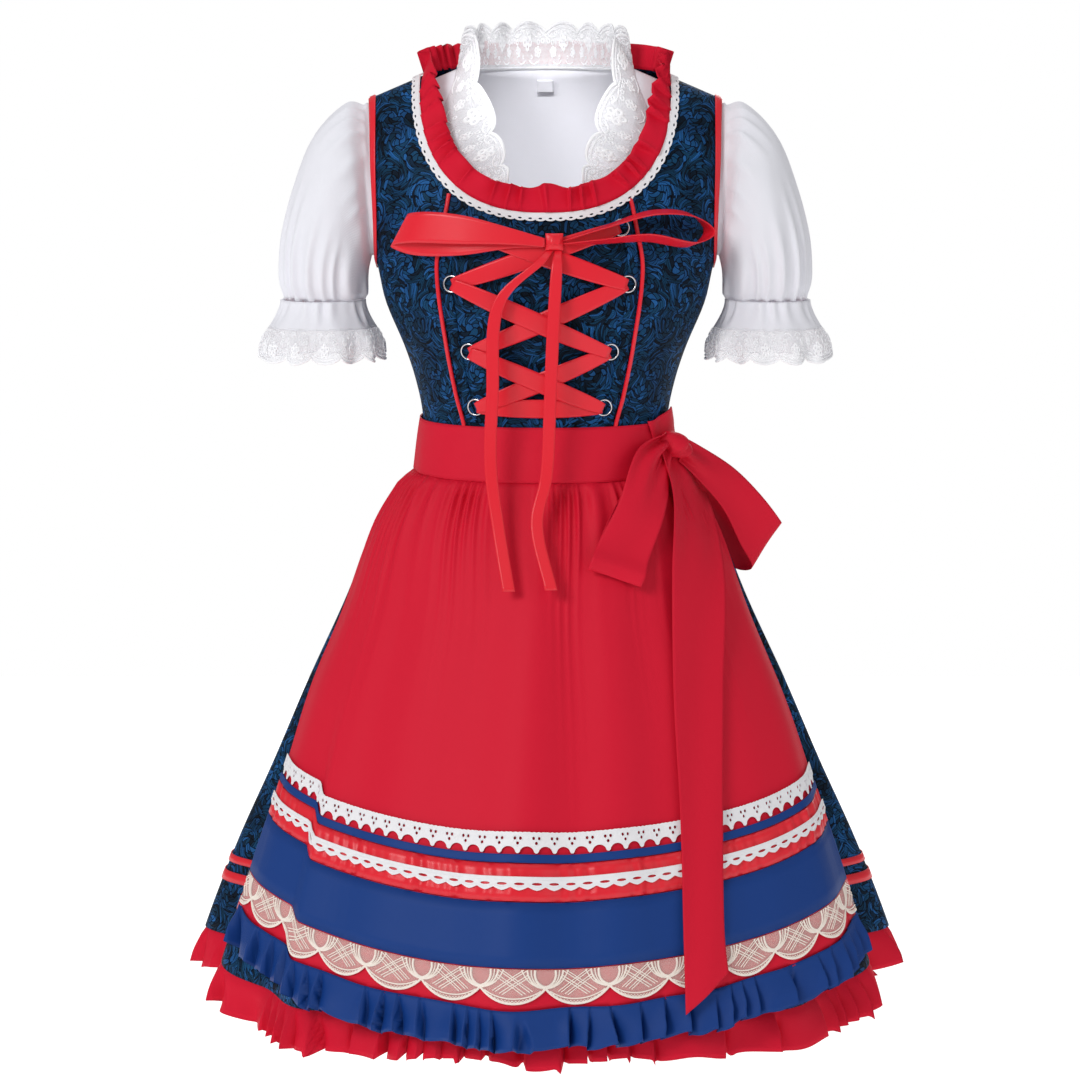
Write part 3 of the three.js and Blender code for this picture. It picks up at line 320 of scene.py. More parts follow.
def patch(bottom, top, inner, outer, inset=0.0001):
    """A panel stretched between four seam lines on the torso."""
    def place(u, v, out):
        s, t = mix(inset, 1 - inset, u), mix(inset, 1 - inset, v)
        edges = [bottom(s), top(s), inner(t), outer(t)]
        corners = [bottom(0.0), bottom(1.0), top(0.0), top(1.0)]
        b, c, d, e = [np.array(np.broadcast_arrays(*p), float) for p in edges]
        p, q, r, w = [np.array(c0, float).reshape(2, *[1] * np.ndim(s)) for c0 in corners]
        turn, rise = mix(b, c, t) + mix(d, e, s) - mix(mix(p, q, s), mix(r, w, s), t)
        return torso_point(turn, rise, out)
    return place


def mirrored(place):
    return lambda u, v, out: place(u, v, out) * [-1, 1, 1]


def uneven(share, seed, low=2, high=9):
    """A soft random wave from -1 to 1 that closes on itself as the share runs from 0 to 1."""
    draw = np.random.default_rng(seed)
    total = 0
    for k in range(low, high + 1):
        total = total + draw.uniform(0.4, 1) * np.cos(2 * np.pi * (k * share + draw.uniform()))
    return total / (high - low + 1) ** 0.5 / 1.1


def flat_map(grid, gores, closed):
    """Cloth coordinates in metres of every face's corners: along each row from the gore's middle, and down."""
    around = np.concatenate([grid, grid[:, :1]], 1) if closed else grid
    step = np.linalg.norm(np.diff(around, axis=1), axis=-1)
    along = np.concatenate([np.zeros((len(grid), 1)), np.cumsum(step, 1)], 1)
    down = np.concatenate([np.zeros((1, around.shape[1])),
                           np.cumsum(np.linalg.norm(np.diff(around, axis=0), axis=-1), 0)])
    columns = around.shape[1] - 1
    gore = np.minimum(np.arange(columns) * gores // columns, gores - 1)
    middle = ((gore + 0.5) * columns / gores).astype(int)
    left = along[:, :-1] - along[:, middle]
    right = along[:, 1:] - along[:, middle]
    shift = gore[None, :] * 0.217
    corners = [(left[:-1], down[:-1, :-1]), (right[:-1], down[:-1, 1:]),
               (right[1:], down[1:, 1:]), (left[1:], down[1:, :-1])]
    return np.stack([np.stack([x * MM + shift, -y * MM], -1) for x, y in corners], 2)


def cloth(name, place, columns, rows, wall, closed=False, gores=1, spread=None):
    """A wall of cloth as an object, and the width, length and area of its own cut in metres."""
    rows_at = np.linspace(0, 1, rows + 1) if spread is None else np.interp(
        np.linspace(0, 1, rows + 1), np.linspace(0, 1, len(spread)), spread)
    count = columns if closed else columns + 1
    u, v = np.meshgrid(np.arange(count) / columns, rows_at)
    outer, inner = place(u, v, np.zeros_like(u)), place(u, v, np.full_like(u, -wall))
    layer = count * (rows + 1)
    i, j = np.meshgrid(np.arange(columns), np.arange(rows))
    a, b = j * count + i, j * count + (i + 1) % count
    c, d = b + count, a + count
    quads = [np.stack([a, b, c, d], -1).reshape(-1, 4), np.stack([a, d, c, b], -1).reshape(-1, 4) + layer]
    sheet_uv = flat_map(outer, gores, closed)
    uvs = [sheet_uv.reshape(-1, 4, 2), sheet_uv[:, :, [0, 3, 2, 1]].reshape(-1, 4, 2)]
    for edge_row, turned in ((0, False), (rows, True)):
        e = edge_row * count + np.arange(columns)
        f = edge_row * count + (np.arange(columns) + 1) % count
        rim = [e, e + layer, f + layer, f]
        quads.append(np.stack(rim[::-1] if turned else rim, -1))
        at = sheet_uv[0 if edge_row == 0 else -1][:, [0, 0, 1, 1] if edge_row == 0 else [2, 2, 3, 3]]
        uvs.append(at)
    if not closed:
        for edge_column, turned in ((0, True), (columns, False)):
            e = np.arange(rows) * count + edge_column
            rim = [e, e + layer, e + count + layer, e + count]
            quads.append(np.stack(rim[::-1] if turned else rim, -1))
            at = sheet_uv[:, 0 if edge_column == 0 else -1][:, [0, 0, 3, 3] if edge_column == 0 else [1, 1, 2, 2]]
            uvs.append(at)
    quads, uvs = np.concatenate(quads), np.concatenate(uvs)
    spots = np.concatenate([outer.reshape(-1, 3), inner.reshape(-1, 3)]) * MM
    corners = spots[quads]
    fan = np.einsum("ij,ij->i", corners[:, 0], np.cross(corners[:, 1], corners[:, 2]))
    fan += np.einsum("ij,ij->i", corners[:, 0], np.cross(corners[:, 2], corners[:, 3]))
    if fan.sum() < 0:
        quads, uvs = quads[:, ::-1], uvs[:, ::-1]
    mesh = bpy.data.meshes.new(name)
    mesh.from_pydata(spots.tolist(), [], quads.tolist())
    mesh.uv_layers.new(name="cloth").data.foreach_set("uv", uvs.ravel())
    mesh.polygons.foreach_set("use_smooth", np.ones(len(quads), bool))
    piece = bpy.data.objects.new(name, mesh)
    bpy.context.scene.collection.objects.link(piece)
    across = np.linalg.norm(np.diff(outer, axis=1), axis=-1).sum(1)
    along = np.linalg.norm(np.diff(outer, axis=0), axis=-1).sum(0)
    half = corners[:layer_faces(columns, rows)]
    area = 0.5 * np.linalg.norm(np.cross(half[:, 2] - half[:, 0], half[:, 3] - half[:, 1]), axis=-1).sum()
    return piece, (float(across.max()) * MM, float(along.max()) * MM, float(area))


def layer_faces(columns, rows):
    return columns * rows


def dress(made, material, finish, nodes):
    """Finishes a piece of cloth: its material, its body, and the imported parts that it stands for, which it hides.

    A braid or ribbon under 10 mm wide is trim, and isn't declared as a sheet.
    """
    piece, (width, length, area) = made
    piece.data.materials.append(material)
    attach(piece, "root")
    if nodes:
        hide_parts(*nodes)
    return piece


def cloth_material(name, shell):
    """A new material with its Principled shader's own constants set."""
    material = bpy.data.materials.new(name)
    material.use_nodes = True
    shader = material.node_tree.nodes["Principled BSDF"]
    for key, value in shell.items():
        shader.inputs[key].default_value = value
    return material, material.node_tree, shader


def weave(tree, shader, spacing, depth, across=1.0):
    """A plain weave as bump, from its thread spacing in millimetres."""
    spot = node(tree, "ShaderNodeUVMap", uv_map="cloth")
    scaled = node(tree, "ShaderNodeMapping", {"Vector": spot.outputs[0],
                                              "Scale": (across / (spacing * MM), 1 / (spacing * MM), 1)})
    parts = node(tree, "ShaderNodeSeparateXYZ", {0: scaled.outputs[0]})
    waves = []
    for axis in (0, 1):
        turn = node(tree, "ShaderNodeMath", {0: parts.outputs[axis], 1: np.pi}, operation="MULTIPLY")
        waves.append(node(tree, "ShaderNodeMath", {0: turn.outputs[0]}, operation="SINE"))
    both = node(tree, "ShaderNodeMath", {0: waves[0].outputs[0], 1: waves[1].outputs[0]}, operation="MULTIPLY")
    bump = node(tree, "ShaderNodeBump", {"Height": both.outputs[0], "Strength": depth, "Distance": 0.0004})
    tree.links.new(bump.outputs[0], shader.inputs["Normal"])
    return spot, bump


# Cotton batiste: plain weave, matt and a little see-through, with faint crumples
batiste, tree, shader = cloth_material("cotton_batiste", {
    "Base Color": linear("E8E8EF"), "Roughness": 0.85, "Specular IOR Level": 0.2,
})
weave(tree, shader, 0.9, 0.25)


def blouse_panel(behind):
    side = side_line(BLOUSE_HEM, behind, 0.18)
    half_top = chain(neckline(BLOUSE_NECK, np.pi if behind else 0, np.pi / 2),
                     shoulder_line(BLOUSE_NECK, behind), 0.6)
    hem = straight((np.pi if behind else 0.0, -BLOUSE_HEM), (np.pi / 2, -BLOUSE_HEM))
    whole = 2 * np.pi if behind else 0

    def turned(line):
        return lambda t: (whole - line(t)[0], line(t)[1])

    def both(line):
        def run(t):
            far, near = line(np.clip(1 - 2 * t, 0, 1)), line(np.clip(2 * t - 1, 0, 1))
            return np.where(t < 0.5, whole - far[0], near[0]), np.where(t < 0.5, far[1], near[1])
        return run
    place = patch(both(hem), both(half_top), turned(side), side)
    return lambda u, v, out: place(u, v, out - BLOUSE_INSET + 0.8 * uneven(u + 0.3 * v, 5, 2, 6) * v * (1 - v))


for side_name, behind in (("front", False), ("back", True)):
    made = cloth(f"cotton_blouse_{side_name}", blouse_panel(behind), 60, 44, COTTON_WALL)
    dress(made, batiste, "white_cotton", [f"blouse_{side_name}"])

def geometry_tree(name, *sockets):
    """A geometry tree with its named inputs, and its first and last nodes."""
    tree = bpy.data.node_groups.new(name, "GeometryNodeTree")
    tree.interface.new_socket("Geometry", in_out="INPUT", socket_type="NodeSocketGeometry")
    for label, kind in sockets:
        tree.interface.new_socket(label, in_out="INPUT", socket_type="NodeSocket" + kind)
    tree.interface.new_socket("Geometry", in_out="OUTPUT", socket_type="NodeSocketGeometry")
    return tree, node(tree, "NodeGroupInput")


def end_tree(tree, start, geometry):
    """Ends a tree in real geometry of one material."""
    real = node(tree, "GeometryNodeRealizeInstances", {0: geometry})
    coated = node(tree, "GeometryNodeSetMaterial", {"Geometry": real.outputs[0],
                                                    "Material": start.outputs["Material"]})
    node(tree, "NodeGroupOutput", {0: coated.outputs[0]})


def grown(name, source, tree, **inputs):
    """The plain mesh object that a geometry tree makes of a source object, which goes."""
    modifier = source.modifiers.new("grow", "NODES")
    modifier.node_group = tree
    for item in tree.interface.items_tree:
        if item.in_out == "INPUT" and item.name in inputs:
            modifier[item.identifier] = inputs[item.name]
    graph = bpy.context.evaluated_depsgraph_get()
    mesh = bpy.data.meshes.new_from_object(source.evaluated_get(graph), depsgraph=graph)
    bpy.data.objects.remove(source)
    mesh.name = name
    piece = bpy.data.objects.new(name, mesh)
    bpy.context.scene.collection.objects.link(piece)
    return piece


def unit_mesh(name, plates=(), threads=()):
    """One repeat of a lace, flat, in millimetres: plates cut to outlines with holes, and raised threads.

    A plate is (outlines, thickness). A thread is (points, half width, height, closed)."""
    bm = bmesh.new()
    for outlines, thickness in plates:
        curve = bpy.data.curves.new(name, "CURVE")
        curve.dimensions, curve.fill_mode, curve.extrude = "2D", "BOTH", thickness * MM / 2
        for line in outlines:
            spline = curve.splines.new("POLY")
            spline.points.add(len(line) - 1)
            spline.points.foreach_set("co", np.array([(x * MM, y * MM, 0, 1) for x, y in line]).ravel())
            spline.use_cyclic_u = True
        cut = bpy.data.objects.new(name, curve)
        bpy.context.scene.collection.objects.link(cut)
        graph = bpy.context.evaluated_depsgraph_get()
        bm.from_mesh(bpy.data.meshes.new_from_object(cut.evaluated_get(graph), depsgraph=graph))
        bpy.data.objects.remove(cut)
    bmesh.ops.remove_doubles(bm, verts=bm.verts, dist=0.01 * MM)
    for line, half, height, closed in threads:
        line = np.array(line, float)
        ahead = np.roll(line, -1, 0) - line
        if not closed:
            ahead[-1] = ahead[-2]
        step = unit(ahead) + unit(np.roll(ahead, 1, 0)) if closed else unit(np.gradient(line, axis=0))
        side = unit(np.stack([-step[:, 1], step[:, 0]], -1)) * half
        corners = [(line + side, 0), (line - side, 0), (line - side * 0.5, height), (line + side * 0.5, height)]
        rings = [[bm.verts.new((x * MM, y * MM, z * MM)) for x, y in places] for places, z in corners]
        last = len(line) if closed else len(line) - 1
        for k in range(last):
            m = (k + 1) % len(line)
            for a, b in ((0, 1), (1, 2), (2, 3), (3, 0)):
                bm.faces.new((rings[a][k], rings[b][k], rings[b][m], rings[a][m]))
        if not closed:
            bm.faces.new([ring[0] for ring in rings][::-1])
            bm.faces.new([ring[-1] for ring in rings])
    bmesh.ops.recalc_face_normals(bm, faces=bm.faces)
    mesh = bpy.data.meshes.new(name)
    bm.to_mesh(mesh)
    bm.free()
    lace_unit = bpy.data.objects.new(name, mesh)
    bpy.context.scene.collection.objects.link(lace_unit)
    return lace_unit


lace_tree, start = geometry_tree(
    "lace_along_cloth", ("Unit", "Object"), ("Count", "Int"), ("Pitch", "Float"), ("First", "Float"),
    ("Stretch", "Vector"), ("Material", "Material"))
first = node(lace_tree, "ShaderNodeCombineXYZ", {0: start.outputs["First"]})
step = node(lace_tree, "ShaderNodeCombineXYZ", {0: start.outputs["Pitch"]})
row = node(lace_tree, "GeometryNodeMeshLine", {"Count": start.outputs["Count"], "Start Location": first,
                                               "Offset": step}, mode="OFFSET")
unit_in = node(lace_tree, "GeometryNodeObjectInfo", {"Object": start.outputs["Unit"]})
copies = node(lace_tree, "GeometryNodeInstanceOnPoints", {"Points": row, "Instance": unit_in.outputs["Geometry"],
                                                          "Scale": start.outputs["Stretch"]})
flat = node(lace_tree, "GeometryNodeRealizeInstances", {0: copies})
flat_at = node(lace_tree, "GeometryNodeInputPosition")
marked = node(lace_tree, "GeometryNodeStoreNamedAttribute", {"Geometry": flat, "Name": "cloth", "Value": flat_at},
              data_type="FLOAT2", domain="CORNER")
cloth_uv = node(lace_tree, "GeometryNodeInputNamedAttribute", {"Name": "cloth"}, data_type="FLOAT_VECTOR")
found = []
for kind in ("GeometryNodeInputPosition", "GeometryNodeInputNormal"):
    value = node(lace_tree, kind)
    found.append(node(lace_tree, "GeometryNodeSampleUVSurface",
                      {0: start.outputs[0], 1: value, 2: cloth_uv, 3: flat_at}, data_type="FLOAT_VECTOR"))
height = node(lace_tree, "ShaderNodeSeparateXYZ", {0: flat_at})
lifted = node(lace_tree, "ShaderNodeVectorMath", {0: found[1], 1: height.outputs[2], 2: found[0]},
              operation="MULTIPLY_ADD")
laid = node(lace_tree, "GeometryNodeSetPosition", {"Geometry": marked, "Position": lifted})
end_tree(lace_tree, start, laid)
STRIP_MARGIN = 0.02


def lace(name, place, grid, unit_of_lace, cut, count, material, nodes=()):
    """Lace laid along a strip of cloth: a unit, whose cut is its own pitch and height in mm, repeated."""
    u, v = np.meshgrid(*(np.linspace(-STRIP_MARGIN, 1 + STRIP_MARGIN, n + 1) for n in grid))
    spots = place(u, v, np.zeros_like(u))
    above = place(u, v, np.ones_like(u)) - spots
    grown_by = 1 + 2 * STRIP_MARGIN
    width = np.linalg.norm(np.diff(spots, axis=1), axis=-1).sum(1).mean() / grown_by * MM
    length = np.linalg.norm(np.diff(spots, axis=0), axis=-1).sum(0).mean() / grown_by * MM
    columns, rows = grid
    i, j = np.meshgrid(np.arange(columns), np.arange(rows))
    a = j * (columns + 1) + i
    quads = np.stack([a, a + 1, a + columns + 2, a + columns + 1], -1).reshape(-1, 4)
    flat_spots, away = spots.reshape(-1, 3), above.reshape(-1, 3)
    corners = flat_spots[quads]
    square = np.cross(corners[:, 1] - corners[:, 0], corners[:, 2] - corners[:, 0])
    if (square * away[quads[:, 0]]).sum() < 0:
        quads = quads[:, ::-1]
    mesh = bpy.data.meshes.new(name)
    mesh.from_pydata((flat_spots * MM).tolist(), [], quads.tolist())
    flat_uv = np.stack([(u - 0.5) * width, -v * length], -1).reshape(-1, 2)
    mesh.uv_layers.new(name="cloth").data.foreach_set("uv", flat_uv[quads].ravel())
    mesh.polygons.foreach_set("use_smooth", np.ones(len(quads), bool))
    source = bpy.data.objects.new(name, mesh)
    bpy.context.scene.collection.objects.link(source)
    pitch = width / count
    piece = grown(name, source, lace_tree, Unit=unit_of_lace, Count=count, Pitch=pitch,
                  First=(pitch - width) / 2, Stretch=(pitch / (cut[0] * MM), length / (cut[1] * MM), 1.0),
                  Material=material)
    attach(piece, "root")
    if nodes:
        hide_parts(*nodes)
    return piece


def arc(middle, radius, start_at, end_at, steps, flatten=1.0):
    """Points of an arc round a middle, in degrees."""
    t = np.radians(np.linspace(start_at, end_at, steps))
    return [(middle[0] + radius * np.cos(a), middle[1] + radius * flatten * np.sin(a)) for a in t]


def both_hands(threads):
    """Threads and their mirror images."""
    return threads + [([(-x, y) for x, y in line], half, height, closed) for line, half, height, closed in threads]


# Puff sleeves: batiste gathered into the armhole over the piping, puffed, and gathered into elastic.
# Long soft folds run between the two rows of gathers.
SLEEVE = table(
    "along outer_x outer_drop inner_x inner_drop half_depth",
    (0.14, 194, 17, 188, 177, 43), (0.28, 214, 15, 190, 184, 58), (0.46, 248, 46, 191.5, 191, 65),
    (0.62, 270, 95, 192.5, 199, 66), (0.78, 285, 150, 193.5, 207, 63), (0.9, 289, 194, 194, 216, 54),
    (1, 286, 224, 194.5, 224, 43),
)
SLEEVE_GATHERS = 19
ELASTIC_DROP = 224
CUFF_HEM = 291
CUFF = {"x": 241, "top_half": 45, "top_depth": 43, "hem_x": 244, "hem_half": 65, "hem_depth": 56}
CUFF_WAVES = 10


def armhole_point(share, into, out):
    """A point of the armhole loop: share 0 at the shoulder, down the front, and up the back."""
    share = np.mod(share, 1)
    behind = share > 0.5
    along = np.where(behind, share * 2 - 1, 1 - share * 2)
    step = 0.004

    def at(t):
        front, back = ARMHOLE_LINES[0](t), ARMHOLE_LINES[1](t)
        return np.where(behind, back[0], front[0]), np.where(behind, back[1], front[1])
    turn, rise = at(along)
    ahead, before = at(np.minimum(1, along + step)), at(np.maximum(0, along - step))
    normal = torso_normal(turn, rise)
    upwards = unit(torso_face(*ahead) - torso_face(*before))
    inwards = unit(times(np.cross(upwards, normal), np.where(behind, -1, 1)))
    return torso_face(turn, rise) + times(normal, out) + times(inwards, into)


def sleeve_face(u, v):
    along = np.clip(v, 0, 1)
    first = SLEEVE["along"][0]
    value = {key: read(SLEEVE, key, np.maximum(along, first), "along") for key in SLEEVE}
    angle = 2 * np.pi * u
    top = points(value["outer_x"], 0, -value["outer_drop"])
    under = points(value["inner_x"], 0, -value["inner_drop"])
    centre = (top + under) / 2
    phase = SLEEVE_GATHERS * u + 0.8 * uneven(u, 31, 1, 5)
    sharp = 2 * (0.5 + 0.5 * np.cos(2 * np.pi * phase)) ** 1.6 - 1
    long_folds = uneven(u + 0.02 * along, 33, 3, 9)
    near_head = smooth(along, 0.1, 0.2) * (1 - smooth(along, 0.2, 0.5))
    near_elastic = smooth(along, 0.5, 0.97)
    height = sharp * (2.2 * near_head + 3.8 * near_elastic) + 3.0 * long_folds * smooth(along, 0.2, 0.5)
    height = height * (0.7 + 0.4 * uneven(u, 37, 2, 7)) - 3.2 * smooth(along, 0.93, 1)
    grow = 1 + height / 60
    ring = centre + times(top - centre, grow * np.cos(angle))
    ring[..., 1] -= value["half_depth"] * grow * np.sin(angle)
    turned_in = np.minimum(1, along / first * 2)
    head = armhole_point(u, mix(0.6, 7, turned_in), mix(-BLOUSE_INSET, -2.4, turned_in))
    share = np.clip(along / first * 2 - 1, 0, 1)
    joined = head + times(ring - head, share)
    return np.where((along >= first)[..., None], ring, joined)


def cuff_face(u, v):
    """The flounce below the elastic, waved at its hem."""
    angle = 2 * np.pi * u
    flare = smooth(v, 0, 0.75)
    gathers = np.cos(2 * np.pi * (SLEEVE_GATHERS * u + 0.9 * uneven(u, 41, 1, 5))) * (1 + uneven(u, 42, 2, 9))
    phase = CUFF_WAVES * angle + 0.9 * uneven(u, 43, 1, 4)
    wave = 1 + 0.075 * smooth(v, 0.2, 1) * np.cos(phase) + 0.032 * gathers * (1 - smooth(v, 0.05, 0.5))
    half = mix(CUFF["top_half"], CUFF["hem_half"], flare) * wave
    depth = mix(CUFF["top_depth"], CUFF["hem_depth"], flare) * wave
    x = mix(CUFF["x"], CUFF["hem_x"], v) + half * np.cos(angle)
    return points(x, -depth * np.sin(angle), -mix(ELASTIC_DROP + 0.8, CUFF_HEM, v))


def moved_out(face, step):
    """A surface with a wall, from its face alone."""
    def place(u, v, out):
        level = np.clip(v, step, 1 - step)
        return face(u, v) + times(square_to(face, u, level, step, step), out)
    return place


def inside_out(place):
    """The same cloth with its wall on the other side of its face."""
    return lambda u, v, out: place(u, v, -out)


def scalloped(face, count, depth):
    """The same face with its last edge drawn up between round scallops."""
    return lambda u, v: face(u, v * (1 - depth * (1 - np.abs(np.sin(np.pi * count * u)) ** 0.6)))


# Embroidered net of the cuffs and the collar: fine cotton net, of which about half is hole, with
# rounded scallops, flowers of five petals, sprigs and eyelets stitched on it in thick white thread.
NET_PITCH = 1.3
cotton_net, tree, shader = cloth_material("cotton_net", {"Base Color": linear("F6F6FA"), "Roughness": 0.9,
                                                         "Specular IOR Level": 0.1})
cloth_at = node(tree, "ShaderNodeUVMap", uv_map="cloth")
holes_at = node(tree, "ShaderNodeMapping", {"Vector": cloth_at, "Scale": (1 / (NET_PITCH * MM),) * 3})
mesh_hole = node(tree, "ShaderNodeTexVoronoi", {"Vector": holes_at, "Scale": 1.0, "Randomness": 0.35},
                 voronoi_dimensions="2D", feature="DISTANCE_TO_EDGE")
covered = node(tree, "ShaderNodeMapRange", {"Value": mesh_hole.outputs["Distance"], "From Min": 0.08,
                                            "From Max": 0.2, "To Min": 1.0, "To Max": 0.22})
tree.links.new(covered.outputs[0], shader.inputs["Alpha"])
stitch_white, tree, shader = cloth_material("white_embroidery_thread", {
    "Base Color": linear("FAFAFD"), "Roughness": 0.7, "Specular IOR Level": 0.2})
weave(tree, shader, 0.6, 0.3)
FLOWER_UNIT = (36, 26)
FLOWER_COUNT = 13
SCALLOP_DROP = 5.2


def scallop_line(x, inset=0.0):
    """Lower edge of the embroidered net, drawn in by an inset."""
    return -(FLOWER_UNIT[1] - inset) + SCALLOP_DROP * (1 - np.abs(np.cos(np.pi * x / FLOWER_UNIT[0])) ** 0.6)


def flower(x, y, size, turn):
    """Five solid petals round an eyelet, as thread loops."""
    petals = []
    for k in range(5):
        angle = np.radians(turn + 72 * k)
        middle = (x + size * 0.62 * np.cos(angle), y + size * 0.62 * np.sin(angle))
        petals.append((arc(middle, size * 0.3, 0, 330, 8), size * 0.15, 0.7, True))
    return petals + [(arc((x, y), size * 0.16, 0, 330, 8), size * 0.07, 0.8, True)]


edge_x = np.linspace(-FLOWER_UNIT[0] / 2, FLOWER_UNIT[0] / 2, 25)
embroidery = flower(0, -15.5, 5.6, 18) + flower(-18 + 6.2, -9.5, 3.2, 40) + flower(18 - 6.2, -9.5, 3.2, 64)
embroidery += [(list(zip(edge_x, scallop_line(edge_x, 0.8))), 0.9, 0.8, False),
               (list(zip(edge_x, scallop_line(edge_x, 3.4))), 0.4, 0.6, False)]
embroidery += both_hands([
    ([(6, -19.5), (9.5, -17.6), (13, -17), (16.6, -18)], 0.45, 0.6, False),
    (arc((9.2, -19.6), 1.2, 0, 330, 6), 0.4, 0.6, True), (arc((12.6, -14.6), 1.3, 0, 330, 6), 0.45, 0.6, True),
    (arc((16.2, -15.2), 1.1, 0, 330, 6), 0.4, 0.6, True), (arc((5.2, -6.6), 0.9, 0, 330, 6), 0.35, 0.6, True),
    ([(2.5, -5), (5, -3.2), (8.4, -2.8), (12, -4.2)], 0.35, 0.5, False),
])
flower_lace = unit_mesh("flower_lace_unit", threads=embroidery)
LACE_START = 0.42


def lower_part(place, start, level, side=1):
    """The part of a cloth below a share of its length, at a level on one of its sides."""
    return lambda u, v, out: place(u, mix(start, 1, v), side * (out + level))


for side, hand in ((1, "left"), (-1, "right")):
    turned = (lambda place: place) if side > 0 else mirrored
    made = cloth(f"puff_sleeve_{hand}", turned(inside_out(moved_out(sleeve_face, 0.004))), 190, 52, COTTON_WALL, closed=True)
    dress(made, batiste, "white_cotton", [f"blouse_sleeve_{hand}"])
    plain = turned(inside_out(moved_out(lambda u, v: cuff_face(u, v * (LACE_START + 0.03)), 0.004)))
    made = cloth(f"cuff_flounce_{hand}", plain, 240, 12, COTTON_WALL, closed=True)
    dress(made, batiste, "white_lace", [f"blouse_cuff_{hand}"])
    net_face = scalloped(lambda u, v: cuff_face(u, mix(LACE_START, 1, v)), FLOWER_COUNT, 0.2)
    made = cloth(f"cuff_net_{hand}", turned(inside_out(moved_out(net_face, 0.004))), 364, 8, 0.4, closed=True)
    dress(made, cotton_net, "white_lace", [])
    strip = turned(lower_part(moved_out(cuff_face, 0.004), LACE_START, 0.1, -1))
    lace(f"cuff_embroidery_{hand}", strip, (420, 12), flower_lace, FLOWER_UNIT, FLOWER_COUNT, stitch_white)

# Lace collar: a strip of embroidered net gathered round the blouse's neck, high behind and lying
# inwards at the sides, where it narrows to nothing in front.
COLLAR = table(
    "angle into up wave",
    (0, 8, 0, 0.4), (22, 22, 0, 2), (50, 42, 2, 4.6), (75, 36, 14, 5), (100, 10, 40, 4.4), (180, -3, 48, 3.6),
)
COLLAR_WAVES = 16
COLLAR_FRONT = np.radians(14)
COLLAR_TUCK = 0.08
COLLAR_SPREAD = 17


def neck_frame(neck, angle):
    """A neckline's point at an angle, and its directions along, into the neck and out."""
    turn, rise = neck_place(neck, angle)
    ahead, before = neck_place(neck, angle + 0.02), neck_place(neck, angle - 0.02)
    along = unit(torso_face(*ahead) - torso_face(*before))
    out = torso_normal(turn, rise)
    return torso_face(turn, rise), along, unit(np.cross(out, along)), out


def collar_face(u, v):
    angle = mix(COLLAR_FRONT, 2 * np.pi - COLLAR_FRONT, u)
    seat, along, into, out = neck_frame(BLOUSE_NECK, angle)
    degrees = np.degrees(np.minimum(angle, 2 * np.pi - angle))
    flat = into.copy()
    flat[..., 2] *= 1 - smooth(degrees, 75, 110)
    risen = v * (1 + COLLAR_TUCK) - COLLAR_TUCK
    reach = times(unit(flat), read(COLLAR, "into", degrees, "angle") * risen)
    reach = reach + points(0, 0, read(COLLAR, "up", degrees, "angle") * risen)
    square = np.cross(along, unit(reach + 1e-9))
    phase = 2 * np.pi * COLLAR_WAVES * u + 0.8 * uneven(u, 51, 1, 4)
    wave = read(COLLAR, "wave", degrees, "angle") * v * np.cos(phase)
    outwards = COLLAR_SPREAD * smooth(degrees, 16, 36) * (1 - smooth(degrees, 74, 92)) * (1 - v) ** 2
    reach = reach - times(unit(flat), outwards)
    return seat + times(out, -BLOUSE_INSET) + into + reach + times(square, wave)


COLLAR_SCALLOPS = 20
made = cloth("collar_ruffle", moved_out(scalloped(collar_face, COLLAR_SCALLOPS, 0.2), 0.002), 400, 12, 0.4)
dress(made, cotton_net, "white_lace", ["blouse_collar_lace"])
for name, level, side in (("inside", 0.1, 1), ("outside", 0.5, -1)):
    lace(f"collar_embroidery_{name}", lower_part(moved_out(collar_face, 0.002), 0.0, level, side), (480, 14),
         flower_lace, FLOWER_UNIT, COLLAR_SCALLOPS, stitch_white)

# Neck label: a small blank satin tab sewn inside the back of the neck
LABEL = {"half": 9.5, "top": 15.5, "bottom": 1, "level": -12}


def label_place(u, v, out):
    x = mix(LABEL["half"], -LABEL["half"], u)
    return on_torso(x, mix(LABEL["top"], LABEL["bottom"], v), LABEL["level"] + out, True)


dress(cloth("blank_label", label_place, 8, 8, 1.0), batiste, "white_cotton", ["blouse_label"])

# Bodice: five panels of navy and blue rose damask, lined, sewn edge to edge over the blouse.
BODICE_WALL = 1.8
FRONT_SHIFT = -6
PRINCESS = table("drop x", (96, 91), (140, 100), (185, 107), (265, 98), (320, 88), (352, 80), (WAIST_SEAM, 78))
PRINCESS_LAST = 120

# Rose damask, a jacquard: blue satin petals outlined in near-black on a dull dark ground. The roses
# are about 34 mm apart; round each one the small petals are swirled, some bright and some dark.
ROSE_PITCH = 34
PETALS_TO_A_ROSE = 6
damask, tree, shader = cloth_material("rose_damask", {"Specular IOR Level": 0.09})
cloth_at, weave_bump = weave(tree, shader, 0.8, 0.14)
rose_at = node(tree, "ShaderNodeMapping", {"Vector": cloth_at, "Scale": (1 / (ROSE_PITCH * MM),) * 3})
drift = node(tree, "ShaderNodeTexNoise", {"Vector": rose_at, "Scale": 1.5, "Detail": 1.0})
bent = node(tree, "ShaderNodeVectorMath", {0: drift.outputs["Color"], 1: (0.3, 0.3, 0), 2: rose_at},
            operation="MULTIPLY_ADD")
rose = node(tree, "ShaderNodeTexVoronoi", {"Vector": bent, "Scale": 1.0, "Randomness": 0.8}, voronoi_dimensions="2D")
from_middle = node(tree, "ShaderNodeVectorMath", {0: bent, 1: rose.outputs["Position"]}, operation="SUBTRACT")
swirl = node(tree, "ShaderNodeMath", {0: rose.outputs["Distance"], 1: -4.2, 2: 2.4}, operation="MULTIPLY_ADD")
turned = node(tree, "ShaderNodeVectorRotate", {"Vector": from_middle, "Angle": swirl}, rotation_type="Z_AXIS")
